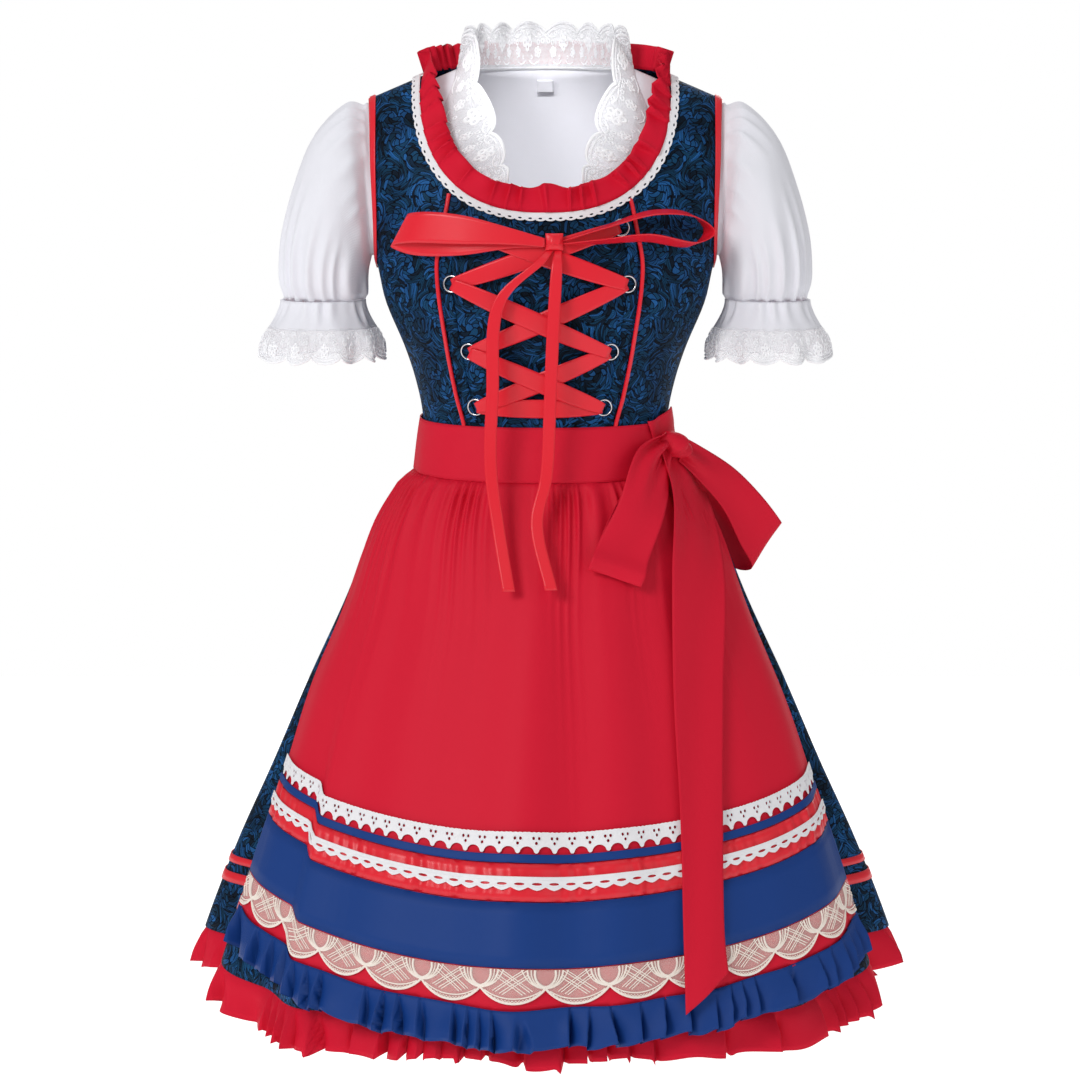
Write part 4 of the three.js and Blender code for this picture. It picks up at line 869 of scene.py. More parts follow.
petal_at = node(tree, "ShaderNodeVectorMath", {0: turned, 1: rose.outputs["Position"]}, operation="ADD")
petal = node(tree, "ShaderNodeTexVoronoi", {"Vector": petal_at, "Scale": PETALS_TO_A_ROSE, "Randomness": 0.95},
             voronoi_dimensions="2D")
outline = node(tree, "ShaderNodeTexVoronoi", {"Vector": petal_at, "Scale": PETALS_TO_A_ROSE, "Randomness": 0.95},
               voronoi_dimensions="2D", feature="DISTANCE_TO_EDGE")
lot = node(tree, "ShaderNodeSeparateColor", {0: petal.outputs["Color"]})
tone = node(tree, "ShaderNodeValToRGB", {0: lot.outputs[0]})
for place, colour in ((0.0, "0A1A2A"), (0.18, "0D2A44"), (0.34, "12405F"), (0.6, "174F7C"), (0.82, "2260A0")):
    stop = tone.color_ramp.elements.new(place) if place else tone.color_ramp.elements[0]
    stop.color = linear(colour)
tone.color_ramp.elements[-1].color = linear("2B6CB2")
vein_turn = node(tree, "ShaderNodeMath", {0: outline.outputs["Distance"], 1: 48.0, 2: lot.outputs[1]},
                 operation="MULTIPLY_ADD")
vein = node(tree, "ShaderNodeMath", {0: vein_turn}, operation="SINE")
vein_depth = node(tree, "ShaderNodeMapRange", {"Value": vein, "From Min": -1.0, "From Max": 0.4,
                                               "To Min": 0.35, "To Max": 1.0})
line = node(tree, "ShaderNodeMapRange", {"Value": outline.outputs["Distance"], "From Min": 0.045, "From Max": 0.14,
                                         "To Min": 0.05, "To Max": 1.0})
shade = node(tree, "ShaderNodeMath", {0: vein_depth, 1: line}, operation="MULTIPLY")
fade = node(tree, "ShaderNodeTexNoise", {"Vector": rose_at, "Scale": 0.7, "Detail": 2.0})
deep = node(tree, "ShaderNodeMapRange", {"Value": fade.outputs[0], "From Min": 0.36, "From Max": 0.64,
                                         "To Min": 0.42, "To Max": 1.05})
shaded = node(tree, "ShaderNodeMath", {0: shade, 1: deep}, operation="MULTIPLY")
colour = node(tree, "ShaderNodeVectorMath", {0: tone.outputs[0], 1: shaded}, operation="MULTIPLY")
tree.links.new(colour.outputs[0], shader.inputs["Base Color"])
gloss = node(tree, "ShaderNodeMapRange", {"Value": shade, "To Min": 0.75, "To Max": 0.5})
tree.links.new(gloss.outputs[0], shader.inputs["Roughness"])


def princess_place(side, drop):
    return place_at(FRONT_SHIFT + side * read(PRINCESS, "x", drop), -np.asarray(drop, float))


def neck_angle(neck, x):
    return np.sign(x) * np.arcsin((abs(x) / neck["half"]) ** (1 / NECK_POWER))


def princess_line(side):
    """From the waist seam up; the last stretch runs straight to the neckline."""
    top_angle = neck_angle(DRESS_NECK, FRONT_SHIFT + side * PRINCESS["x"][0])
    last = princess_place(side, PRINCESS_LAST)
    top = neck_place(DRESS_NECK, top_angle)
    return chain(lambda t: princess_place(side, mix(WAIST_SEAM, PRINCESS_LAST, t)), straight(last, top), 7 / 8)


def princess_top(side):
    return neck_angle(DRESS_NECK, FRONT_SHIFT + side * PRINCESS["x"][0])


front_centre = patch(
    straight(princess_line(-1)(0.0), princess_line(1)(0.0)),
    neckline(DRESS_NECK, princess_top(-1), princess_top(1)),
    princess_line(-1), princess_line(1),
)
dress(cloth("damask_front_centre", front_centre, 44, 56, BODICE_WALL), damask, "navy_damask",
      ["bodice_front_centre"])


def side_front(side):
    seam = princess_line(side)
    inner = lambda t: (side * seam(t)[0], seam(t)[1])
    neck_edge = evened(neckline(DRESS_NECK, abs(princess_top(side)), np.pi / 2))
    start = inner(0.0)
    place = patch(
        straight((float(start[0]), float(start[1])), (np.pi / 2, -WAIST_SEAM)),
        shoulder_line(DRESS_NECK, False),
        chain(inner, neck_edge, 8 / 12),
        side_line(WAIST_SEAM, False, 4 / 12),
    )
    return place if side > 0 else mirrored(place)


back_panel = patch(
    straight((np.pi, -WAIST_SEAM), (np.pi / 2, -WAIST_SEAM)),
    chain(neckline(DRESS_NECK, np.pi, np.pi / 2), shoulder_line(DRESS_NECK, True), 0.66),
    straight((np.pi, -WAIST_SEAM), neck_place(DRESS_NECK, np.pi)),
    side_line(WAIST_SEAM, True, 4 / 12),
)
for side, hand in ((1, "left"), (-1, "right")):
    dress(cloth(f"damask_side_front_{hand}", side_front(side), 36, 64, BODICE_WALL), damask, "navy_damask",
          [f"bodice_side_front_{hand}"])
    back = back_panel if side > 0 else mirrored(back_panel)
    dress(cloth(f"damask_back_{hand}", back, 40, 64, BODICE_WALL), damask, "navy_damask", [f"bodice_back_{hand}"])

# Red pipings: a cord wrapped in red satin, set into the armhole edges and the two princess seams
PIPING_RADIUS = 1.6
BINDING_WIDTH = 5.5
SEAM_CORD_RADIUS = 2.2


def line_object(name, lines, closed=False):
    """A curve object that runs through each list of points, given in millimetres."""
    curve = bpy.data.curves.new(name, "CURVE")
    curve.dimensions = "3D"
    for line in lines:
        spline = curve.splines.new("POLY")
        spline.points.add(len(line) - 1)
        spline.points.foreach_set("co", np.append(np.array(line) * MM, np.ones((len(line), 1)), 1).ravel())
        spline.use_cyclic_u = closed
    source = bpy.data.objects.new(name, curve)
    bpy.context.scene.collection.objects.link(source)
    return source


cord_tree, start = geometry_tree("cord_on_a_seam", ("Radius", "Float"), ("Sides", "Int"), ("Flatness", "Float"),
                                 ("Material", "Material"))
ring = node(cord_tree, "GeometryNodeCurvePrimitiveCircle", {"Radius": start.outputs["Radius"],
                                                            "Resolution": start.outputs["Sides"]})
shape = node(cord_tree, "ShaderNodeCombineXYZ", {0: 1.0, 1: start.outputs["Flatness"], 2: 1.0})
oval = node(cord_tree, "GeometryNodeTransform", {"Geometry": ring.outputs[0], "Scale": shape.outputs[0]})
swept = node(cord_tree, "GeometryNodeCurveToMesh", {0: start.outputs[0], 1: oval.outputs[0]})
swept.inputs["Fill Caps"].default_value = True
soft = node(cord_tree, "GeometryNodeSetShadeSmooth", {0: swept.outputs[0]})
end_tree(cord_tree, start, soft.outputs[0])

# Satin: long floats of bright thread, so it is glossy, with faint ribs across the ribbon
satin_red, tree, shader = cloth_material("red_satin_ribbon", {
    "Base Color": linear("E01A2C"), "Roughness": 0.3, "Specular IOR Level": 0.42,
})
weave(tree, shader, 0.9, 0.12)

for side, hand in ((1, "left"), (-1, "right")):
    loop = armhole_point(np.linspace(0, 1, 160, endpoint=False), PIPING_RADIUS + 0.6, -BODICE_WALL / 2)
    source = line_object(f"armhole_line_{hand}", [loop * [side, 1, 1]], closed=True)
    piece = grown(f"armhole_cord_{hand}", source, cord_tree, Radius=PIPING_RADIUS * MM, Sides=10, Flatness=1.0,
                  Material=satin_red)
    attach(piece, "root")
    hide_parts(f"armhole_piping_{hand}")
    edge = lambda u, v, out: armhole_point(u, mix(1.2, -BINDING_WIDTH, v), 1.8 + out)
    dress(cloth(f"armhole_binding_{hand}", edge if side > 0 else mirrored(edge), 200, 5, 1.0, closed=True),
          satin_red, "red_satin_ribbon", [])
    turn, rise = princess_line(side)(mix(0.02, 0.93, np.linspace(0, 1, 90)))
    source = line_object(f"princess_line_{hand}", [torso_point(turn, rise, SEAM_CORD_RADIUS * 0.6)])
    piece = grown(f"princess_cord_{hand}", source, cord_tree, Radius=SEAM_CORD_RADIUS * MM, Sides=10, Flatness=1.0,
                  Material=satin_red)
    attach(piece, "root")
    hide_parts(f"princess_piping_{hand}")

# Neckline: a narrow white torchon braid on the damask, and a red box-pleated frill inside it
NECK_LACE = {"inner": 2.4, "outer": 11.4, "level": 2.4}
NECK_FRILL = {"waves": 38, "height": 24, "level": 3.4, "pleat": 3.8, "lean": 0.3}


def neck_loop():
    t = np.linspace(0, 1, 1601)
    angle = mix(-np.pi, np.pi, t)
    place = torso_face(*neck_place(DRESS_NECK, angle))
    length = np.concatenate([[0], np.cumsum(np.linalg.norm(np.diff(place, axis=0), axis=1))])
    return lambda share: np.interp(np.mod(share, 1), length / length[-1], angle)


dress_neck_angle = neck_loop()


def neck_lace_place(u, v, out):
    point, along, into, square = neck_frame(DRESS_NECK, dress_neck_angle(u))
    away = mix(NECK_LACE["inner"], NECK_LACE["outer"], v)
    return point - times(into, away) + times(square, NECK_LACE["level"] + 0.6 * v + out)


def flat_pleat(phase):
    """Cloth folded flat to one side: it rises slowly, and its fold drops back into a crease."""
    share = np.mod(phase, 1)
    rising = 2 * np.minimum(share / 0.82, 1) ** 0.7 - 1
    crease = 1 - 3 * smooth(share, 0.82, 0.9) + smooth(share, 0.92, 1)
    return np.where(share < 0.82, rising, crease)


def neck_frill_place(u, v, out):
    angle = dress_neck_angle(u)
    point, along, into, square = neck_frame(DRESS_NECK, angle)
    back = smooth(np.abs(angle), np.radians(62), np.radians(112))
    away = unit(square * [1, 1, 0])
    standing = points(0, 0, 1) + away * NECK_FRILL["lean"]
    reach = unit(into + times(standing - into, back))
    level = unit(np.cross(along, reach))
    phase = NECK_FRILL["waves"] * u + 1.3 * uneven(u, 61, 3, 12) + 0.25 * v * uneven(u, 65, 5, 24)
    pleat = flat_pleat(phase) * NECK_FRILL["pleat"] * mix(0.25, 1, smooth(v, 0, 0.8))
    height = mix(-2.6, NECK_FRILL["height"] + 1.8 * uneven(u, 63, 4, 22), v)
    face = point + times(reach, height) + times(square, mix(NECK_FRILL["level"], 1, back)) - times(level, pleat)
    return face + times(unit(square + times(away - square, back)), out)


braid_white, tree, shader = cloth_material("cotton_torchon_lace", {
    "Base Color": linear("EEEDF0"), "Roughness": 0.85, "Specular IOR Level": 0.15,
})
weave(tree, shader, 1.0, 0.5)
red_cloth, tree, shader = cloth_material("red_polyester_twill", {
    "Base Color": linear("D21230"), "Roughness": 0.65, "Specular IOR Level": 0.14,
})
weave(tree, shader, 0.8, 0.2)
BRAID_UNIT = (10, 9)
braid_edge = [(-5, 0), (5, 0), (5, -7.6), (4, -8.3), (2.2, -8.9), (0, -9.1), (-2.2, -8.9), (-4, -8.3), (-5, -7.6)]
braid = unit_mesh("braid_unit", [([braid_edge, arc((0, -6.3), 1.9, 0, 330, 8, 0.5)], 0.9)],
                  [([(-5, -1), (0, -1), (5, -1)], 0.6, 0.8, False)])
lace("neck_braid", lambda u, v, out: neck_lace_place(u, v, out - 0.4), (720, 6), braid, BRAID_UNIT, 80, braid_white,
     ["neckline_lace"])
dress(cloth("neck_frill", neck_frill_place, 760, 6, 0.8, closed=True), red_cloth, "red_frill_cloth",
      ["neckline_frill"])

# Lacing plackets: narrow strips of the damask beside each princess seam, which carry the rings
PLACKET = {"top": 132, "bottom": 348, "inset": 4.2, "width": 11, "level": 1.4}
RINGS = table("drop x", (142, 84), (200, 91), (271, 73.5), (331, 67))
RING_RADIUS = 8.4
RING_WIRE = 0.9

for side, hand in ((1, "left"), (-1, "right")):
    def placket(u, v, out, side=side):
        drop = mix(PLACKET["top"], PLACKET["bottom"], v)
        away = read(PRINCESS, "x", drop) - PLACKET["inset"] - PLACKET["width"] * u
        return on_torso(FRONT_SHIFT + side * away, -drop, PLACKET["level"] + out)
    dress(cloth(f"ring_placket_{hand}", placket, 4, 60, 1.0), damask, "navy_damask", [f"lacing_placket_{hand}"])

# Rings: bright wire bent round and sewn flat on the plackets, four on each side
steel, tree, shader = cloth_material("bright_steel_wire", {
    "Base Color": linear("D8D8DC"), "Metallic": 1.0, "Roughness": 0.18,
})
for side, hand in ((1, "left"), (-1, "right")):
    circles = []
    for x, drop in zip(RINGS["x"], RINGS["drop"]):
        turn, rise = place_at(FRONT_SHIFT + side * x, -drop)
        normal = torso_normal(turn, rise)
        centre = torso_point(turn, rise, PLACKET["level"] + 0.5 + RING_WIRE)
        first = unit(np.cross([0, 0, 1], normal))
        second = np.cross(normal, first)
        t = np.linspace(0, 2 * np.pi, 40, endpoint=False)[:, None]
        circles.append(centre + RING_RADIUS * (np.cos(t) * first + np.sin(t) * second))
    source = line_object(f"ring_lines_{hand}", circles, closed=True)
    piece = grown(f"wire_rings_{hand}", source, cord_tree, Radius=RING_WIRE * MM, Sides=8, Flatness=1.0, Material=steel)
    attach(piece, "root")
    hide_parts(*[f"lacing_ring_{hand}_{k}" for k in range(1, 5)])

# Lacing: one red satin ribbon, 20 mm wide, run through the rings from the waist up in seven crossed
# runs and tied in a bow, whose loops stand clear of the bodice and whose tails hang over the apron.
RIBBON_WALL = 0.8
RIBBON_WIDTH = 20
RUN_LEVELS = {"bottom": 4.6, "rising": 6.0, "falling": 7.4}


def ring_place(side, k):
    return FRONT_SHIFT + side * (RINGS["x"][k] - 2), RINGS["drop"][k]


def ribbon_run(start, end, level):
    along = np.array(end) - np.array(start)
    across = np.array([-along[1], along[0]]) / np.hypot(*along)

    def place(u, v, out):
        width = RIBBON_WIDTH * mix(0.55, 1, np.sin(np.pi * np.clip(v, 0, 1)) ** 0.6) * (0.5 - u)
        x = start[0] + along[0] * v + across[0] * width
        drop = start[1] + along[1] * v + across[1] * width
        ease = 0.4 * uneven(v * 0.4 + u * 0.1, 71, 1, 4)
        return on_torso(x, -drop, level + RIBBON_WALL + ease + out)
    return place


runs = [(ring_place(-1, 3), ring_place(1, 3), RUN_LEVELS["bottom"])]
for k in (3, 2, 1):
    runs.append((ring_place(-1, k), ring_place(1, k - 1), RUN_LEVELS["rising"]))
    runs.append((ring_place(-1, k - 1), ring_place(1, k), RUN_LEVELS["falling"]))
for k, (first, last, level) in enumerate(runs, 1):
    dress(cloth(f"satin_run_{k}", ribbon_run(first, last, level), 8, 48, RIBBON_WALL), satin_red,
          "red_satin_ribbon", [f"lacing_run_{k}"])


def smooth_path(rows, samples):
    """Points at even steps of the knots along a Catmull-Rom curve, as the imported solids' edges run."""
    rows = np.array(rows, float)
    ends = np.concatenate([[2 * rows[0] - rows[1]], rows, [2 * rows[-1] - rows[-2]]])
    t = np.clip(np.asarray(samples, float), 0, 1) * (len(rows) - 1)
    k = np.minimum(t.astype(int), len(rows) - 2)
    gap = np.linalg.norm(np.diff(ends, axis=0), axis=1) ** 0.5
    gap = np.where(gap < 1e-4, 1, gap)
    w = (t - k)[..., None]
    p0, p1, p2, p3 = ends[k], ends[k + 1], ends[k + 2], ends[k + 3]
    d0, d1, d2 = gap[k][..., None], gap[k + 1][..., None], gap[k + 2][..., None]
    m1 = ((p1 - p0) / d0 - (p2 - p0) / (d0 + d1) + (p2 - p1) / d1) * d1
    m2 = ((p2 - p1) / d1 - (p3 - p1) / (d1 + d2) + (p3 - p2) / d2) * d1
    return (2 * w ** 3 - 3 * w ** 2 + 1) * p1 + (w ** 3 - 2 * w ** 2 + w) * m1 \
        + (3 * w ** 2 - 2 * w ** 3) * p2 + (w ** 3 - w ** 2) * m2


def ribbon_between(edge_a, edge_b, bend=None):
    """A ribbon whose two edges run smoothly through rows of points."""
    def face(u, v):
        a, b = smooth_path(edge_a, v), smooth_path(edge_b, v)
        return a + times(b - a, u) if bend is None else a + times(b - a, u) + bend(u, v)
    return moved_out(face, 0.004)


def chest(x, drop, out):
    return on_torso(x, -np.asarray(drop, float), np.asarray(out, float))


KNOT = {"x": 9, "drop": 157, "half": 9, "level": 9, "thickness": 8}


def knot_place(u, v, out):
    bulge = np.sin(np.pi * u) * np.sin(np.pi * v)
    x = KNOT["x"] + (u - 0.5) * 2 * KNOT["half"]
    drop = KNOT["drop"] + (v - 0.5) * 2 * KNOT["half"]
    crease = 0.5 * np.cos(2 * np.pi * (2.3 * u + 0.4 * v)) * bulge
    rest = np.where(out < 0, 0, KNOT["thickness"] * mix(0.45, 1, bulge ** 0.7) + crease)
    return on_torso(x, -drop, KNOT["level"] + rest)


dress(cloth("satin_knot", knot_place, 24, 24, KNOT["thickness"]), satin_red, "red_satin_ribbon", ["lacing_knot"])

RIGHT_LOOP = table(
    "x lean drop half out",
    (-0.4, 0, 158, 5, 15), (-35, 0, 152, 9, 18.5), (-85, 2, 145, 14, 20), (-128, 6, 143, 15, 19),
    (-146, 8, 146, 15.5, 13), (-130, 6, 154, 16, 9.6), (-85, 2, 156, 15, 10.4), (-35, 0, 156, 8, 11.2),
    (-0.4, 0, 158, 5, 12),
)
LEFT_LOOP = table(
    "x drop low high tilt",
    (18.4, 155, 10, 20, 0), (60, 143, 10, 27, -3), (108, 131, 10, 28, -6), (146, 134, 10, 28, -5),
    (160, 147, 10, 28, 0), (146, 157, 10, 28, 5), (100, 150, 10, 28, 7), (55, 155, 10, 26, 4),
    (18.4, 159, 10, 20, 0),
)
TAILS = {
    "right": table("x half y drop", (4.5, 3.6, -126, 164.4), (-6, 5.5, -135, 176), (-47, 6.5, -137, 216),
                   (-55, 6.5, -136, 313), (-57, 6.5, -137, 390), (-49, 6.5, -149, 452), (-38, 6.5, -171, 514)),
    "left": table("x half y drop", (13.5, 3.6, -126, 164.4), (12, 5.5, -136, 178), (8, 6.5, -139, 245),
                  (5, 6.5, -138, 318), (1, 6.5, -139, 398), (-9, 6.5, -149, 446), (6, 6.5, -174, 512)),
}
right, left = RIGHT_LOOP, LEFT_LOOP
right_edges = [chest(right["x"] - way * right["lean"], right["drop"] + way * right["half"], right["out"])
               for way in (-1, 1)]
left_edges = [chest(left["x"], left["drop"] + left["tilt"] * way, left[edge])
              for edge, way in (("high", 0), ("low", 1))]
for hand, edges in (("right", right_edges), ("left", left_edges)):
    dress(cloth(f"satin_loop_{hand}", ribbon_between(*edges), 8, 100, RIBBON_WALL), satin_red,
          "red_satin_ribbon", [f"lacing_loop_{hand}"])
for hand, tail in TAILS.items():
    edges = [points(tail["x"] + way * tail["half"], tail["y"], -tail["drop"]) for way in (-1, 1)]
    dress(cloth(f"satin_tail_{hand}", ribbon_between(*edges), 6, 100, RIBBON_WALL), satin_red,
          "red_satin_ribbon", [f"lacing_tail_{hand}"])

# Skirt: rose damask cut in six gores, lined, pleated into the waist seam and falling in soft folds
SKIRT_WALL = 1.8
SKIRT_FOLDS = 16
SKIRT_GORES = 6
SKIRT_HEM = 936
FRILL_HEM = 979
HEM_SAG = 17
SKIRT = table(
    "drop half front back fold",
    (WAIST_SEAM, 136, 103, 97, 0), (408, 141, 106, 102, 1), (424, 156, 112, 110, 2), (469, 187, 128, 129, 4),
    (559, 226, 162, 163, 8), (650, 269, 196, 197, 12), (743, 310, 231, 232, 16), (836, 353, 266, 268, 20),
    (SKIRT_HEM, 393, 303, 305, 24), (1000, 412, 322, 324, 26),
)


def off_front(turn):
    """Angle from the middle of the front, to either side."""
    return np.abs(np.mod(turn + np.pi, 2 * np.pi) - np.pi)


def fold_share(turn):
    side = off_front(turn)
    clear_of_apron = smooth(side, np.radians(58), np.radians(88))
    return 0.36 + 0.64 * clear_of_apron - 0.22 * smooth(side, np.radians(110), np.radians(150))


def skirt_face(turn, drop, stand_off=0, folded=1):
    fold = read(SKIRT, "fold", drop)
    exponent = 2 / mix(SECTION_POWER, 2, smooth(drop, WAIST_SEAM, 560))
    width = read(SKIRT, "half", drop) - fold
    depth = np.where(np.cos(turn) > 0, read(SKIRT, "front", drop), read(SKIRT, "back", drop)) - fold * 0.4
    loose = 0.85 + 0.15 * np.sin(5 * turn + 1)
    wave = folded * fold * fold_share(turn) * loose * np.cos(SKIRT_FOLDS * turn)
    out = unit(points(np.sin(turn) / width, -np.cos(turn) / depth, 0))
    x, y = width * power(np.sin(turn), exponent), -depth * power(np.cos(turn), exponent)
    side = off_front(turn)
    beside_apron = smooth(side, np.radians(20), np.radians(44)) * (1 - smooth(side, np.radians(58), np.radians(78)))
    sag = folded * HEM_SAG * beside_apron * smooth(drop, 640, SKIRT_HEM)
    return points(x, y, -drop - sag) + times(out, wave + stand_off)


def skirt_normal(turn, drop):
    return square_to(skirt_face, turn, drop, 0.01, 1)


def skirt_point(turn, drop, out):
    return skirt_face(turn, drop) + times(skirt_normal(turn, drop), out)


def skirt_place(u, v, out):
    turn, drop = 2 * np.pi * (u - 0.5), mix(WAIST_SEAM + 0.3, SKIRT_HEM, v)
    small = 2.2 * uneven(u + 0.01 * v, 81, 14, 40) * smooth(drop, 400, 520) * (1 - 0.5 * smooth(drop, 600, 936))
    return skirt_point(turn, drop, out + small)


def skirt_band(top, bottom, level):
    return lambda u, v, out: skirt_point(2 * np.pi * u, mix(top, bottom, v), level + out)


dress(cloth("damask_skirt", skirt_place, 480, 56, SKIRT_WALL, closed=True, gores=SKIRT_GORES), damask,
      "navy_damask", ["skirt"])
for name, top, bottom in (("upper", 850, 858), ("lower", 868, 879)):
    dress(cloth(f"hem_ribbon_{name}", skirt_band(top, bottom, 1.7), 480, 2, 1.0, closed=True), satin_red,
          "red_satin_ribbon", [f"skirt_ribbon_{name}"])

# Hem frill: red twill gathered to the skirt's hem; its pleats add to the skirt's own folds
HEM_FRILL = {"waves": 56, "pleat": 9.5}
TUCK = {"rise": 5, "depth": 3.4}


def hem_frill_face(u, v):
    turn, drop = 2 * np.pi * u, mix(SKIRT_HEM - TUCK["rise"], FRILL_HEM, v)
    phase = HEM_FRILL["waves"] * u + 0.125 + 1.5 * uneven(u, 91, 2, 14)
    pleat = flat_pleat(phase + 0.3 * v * uneven(u, 97, 9, 40)) * HEM_FRILL["pleat"] * (0.8 + 0.4 * uneven(u, 93, 3, 22))
    hem = 3 * v * (uneven(u, 95, 9, 40) + 0.6 * flat_pleat(phase))
    tucked = TUCK["depth"] * (1 - smooth(v, 0.1, 0.3))
    return skirt_face(turn, drop - hem, pleat * smooth(v, 0.04, 0.8) - SKIRT_WALL * 0.2 - tucked)


dress(cloth("hem_frill", moved_out(hem_frill_face, 0.02), 1120, 9, 1.0, closed=True), red_cloth,
      "red_frill_cloth", ["skirt_hem_frill"])

# Apron panel: red satin-backed twill gathered into the waistband, its hem rising towards the sides
APRON_WALL = 1.4
BAND_TOP = 352
BAND_BOTTOM = 411
APRON_HEM = 922
RUFFLE_HEM = 958
HEM_RISE = 38
BORDER_LIFT = 6
GATHERS = 31
APRON = table(
    "drop stand_off edge",
    (BAND_BOTTOM, 3, 92), (470, 6, 84), (560, 10, 78), (700, 16, 73), (800, 21, 68), (877, 25, 65), (1000, 31, 61),
)


def apron_face(share, drop, fine=0.0):
    share, drop = np.asarray(share, float), np.asarray(drop, float)
    rise = HEM_RISE * smooth(drop, BAND_BOTTOM, APRON_HEM) * np.abs(share) ** 2.2
    turned_back = smooth(-share, 0.69, 0.75) * smooth(drop, 620, 770)
    rise = rise + BORDER_LIFT * smooth(drop, 600, 760) + 9 * turned_back
    turn = share * np.radians(read(APRON, "edge", drop))
    broad = 4 * smooth(drop, 560, 800) * np.cos(7 * share + 0.6) - 6 * turned_back
    return skirt_face(turn, drop - rise, read(APRON, "stand_off", drop) + broad + APRON_WALL + fine, 0)


def apron_normal(share, drop):
    return square_to(apron_face, share, drop, 0.02, 1.5)


def apron_point(share, drop, out):
    return apron_face(share, drop) + times(apron_normal(share, drop), out)


def apron_fall(u, drop):
    """The long soft folds that run down the panel and its border."""
    return 6 * uneven(u + 0.00006 * (drop - 600), 105, 2, 9) * smooth(drop, 430, 600)


def gathered_apron(u, v):
    share, drop = 2 * u - 1, mix(BAND_BOTTOM - 3, APRON_HEM, v)
    phase = GATHERS * u + 1.2 * uneven(u, 101, 1, 7)
    sharp = 2 * (0.5 + 0.5 * np.cos(2 * np.pi * phase)) ** 1.9 - 1
    length = 48 + 34 * uneven(u, 103, 5, 18)
    fade = smooth(drop, BAND_BOTTOM, BAND_BOTTOM + 10) * np.exp(-np.clip(drop - BAND_BOTTOM - 12, 0, None) / length)
    tucked = 2.6 * (1 - smooth(drop, BAND_BOTTOM, BAND_BOTTOM + 5))
    gathers = 4.0 * sharp * fade * (0.75 + 0.7 * uneven(u, 107, 3, 9))
    return apron_face(share, drop, gathers + apron_fall(u, drop) - tucked)


red_apron, tree, shader = cloth_material("red_satin_twill", {
    "Base Color": linear("D01430"), "Roughness": 0.55, "Specular IOR Level": 0.16,
})
weave(tree, shader, 0.8, 0.2)
dress(cloth("apron_front", moved_out(gathered_apron, 0.002), 420, 62, APRON_WALL), red_apron, "red_apron_cloth",
      ["apron_panel"])

# Apron border: from the top a white eyelet edging, a narrow blue ribbon, a red satin band with a
# torchon lace in its middle, a wide blue band and a cream scalloped lace on net.
blue_satin, tree, shader = cloth_material("blue_satin", {
    "Base Color": linear("10397E"), "Roughness": 0.5, "Specular IOR Level": 0.2,
})
weave(tree, shader, 0.8, 0.2)
cream_net, tree, shader = cloth_material("cream_net", {
    "Base Color": linear("F4DCD6"), "Roughness": 0.8, "Specular IOR Level": 0.1, "Alpha": 0.26,
})
cream_thread, tree, shader = cloth_material("cream_lace_thread", {
    "Base Color": linear("F4EAE0"), "Roughness": 0.6, "Specular IOR Level": 0.3,
})
weave(tree, shader, 0.7, 0.3)
TRIM_LEVEL = 2.3
TRIMS = [
    ("narrow_blue_ribbon", 777, 785, 0, blue_satin, "blue_satin", "apron_blue_ribbon"),
    ("red_satin_band", 786, 821, 0, satin_red, "red_satin_ribbon", "apron_satin_band"),
    ("wide_blue_band", 822, 883, 0, blue_satin, "blue_satin", "apron_blue_band"),
]
SHEEN_RIPPLES = 1.1


def trim_place(top, bottom, level, rippled=0.0):
    """A band that lies on the apron between two heights, with small puckers where it is stitched."""
    def place(u, v, out):
        drop = mix(top, bottom, v)
        pucker = rippled * uneven(u + 0.0022 * np.sin(2 * np.pi * v + 1), 131, 18, 64)
        return apron_point(2 * u - 1, drop, TRIM_LEVEL + level + pucker + apron_fall(u, drop) + out)
    return place


for name, top, bottom, raised, material, finish, solid in TRIMS:
    rippled = SHEEN_RIPPLES if material is satin_red else 0.08
    made = cloth(name, trim_place(top, bottom, raised, rippled), 700 if rippled > 0.1 else 320, 5, 0.8)
    dress(made, material, finish, [solid])

EYELET_UNIT = (20, 20)
notch = arc((10, -19.8), 7.8, 90, 172, 7, 0.8)
tip = notch + [(0.9, -20), (-0.9, -20)] + [(-x, y) for x, y in notch[::-1]]
eyelet_outline = [(-10, -0.2), (-7.5, 0), (-5, -0.5), (-2.5, 0), (0, -0.5), (2.5, 0), (5, -0.5), (7.5, 0),
                  (10, -0.2)] + tip
EYELETS = ((-3, -6), (3, -6), (0, -10.6))
eyelet_unit = unit_mesh("eyelet_unit", [([eyelet_outline] + [arc(spot, 1.6, 0, 330, 8) for spot in EYELETS], 0.8)],
                        [(arc(spot, 2.1, 0, 330, 8), 0.4, 0.8, True) for spot in EYELETS])
lace("eyelet_edging", trim_place(756, 776, 0), (420, 8), eyelet_unit, EYELET_UNIT, 42, braid_white,
     ["apron_eyelet_lace"])

TORCHON_UNIT = (18, 13)
torchon_outline = [(-9, 0), (0, 0), (9, 0), (9, -9.8), (7.4, -10.4), (5.8, -11.2), (3.2, -12.2), (0, -13),
                   (-3.2, -12.2), (-5.8, -11.2), (-7.4, -10.4), (-9, -9.8)]
torchon_unit = unit_mesh("torchon_unit", [([torchon_outline, arc((0, -6.8), 5.4, 0, 330, 10, 0.24)], 0.8)], [
    ([(-9, -0.8), (0, -0.8), (9, -0.8)], 0.5, 0.8, False), ([(-9, -3.6), (0, -4.0), (9, -3.6)], 0.6, 0.8, False),
    ([(-9, -9), (-4.5, -9.6), (0, -10.6), (4.5, -9.6), (9, -9)], 0.6, 0.8, False)])
lace("torchon_lace", trim_place(798, 811, 1.6), (420, 8), torchon_unit, TORCHON_UNIT, 46, braid_white,
     ["apron_torchon_lace"])

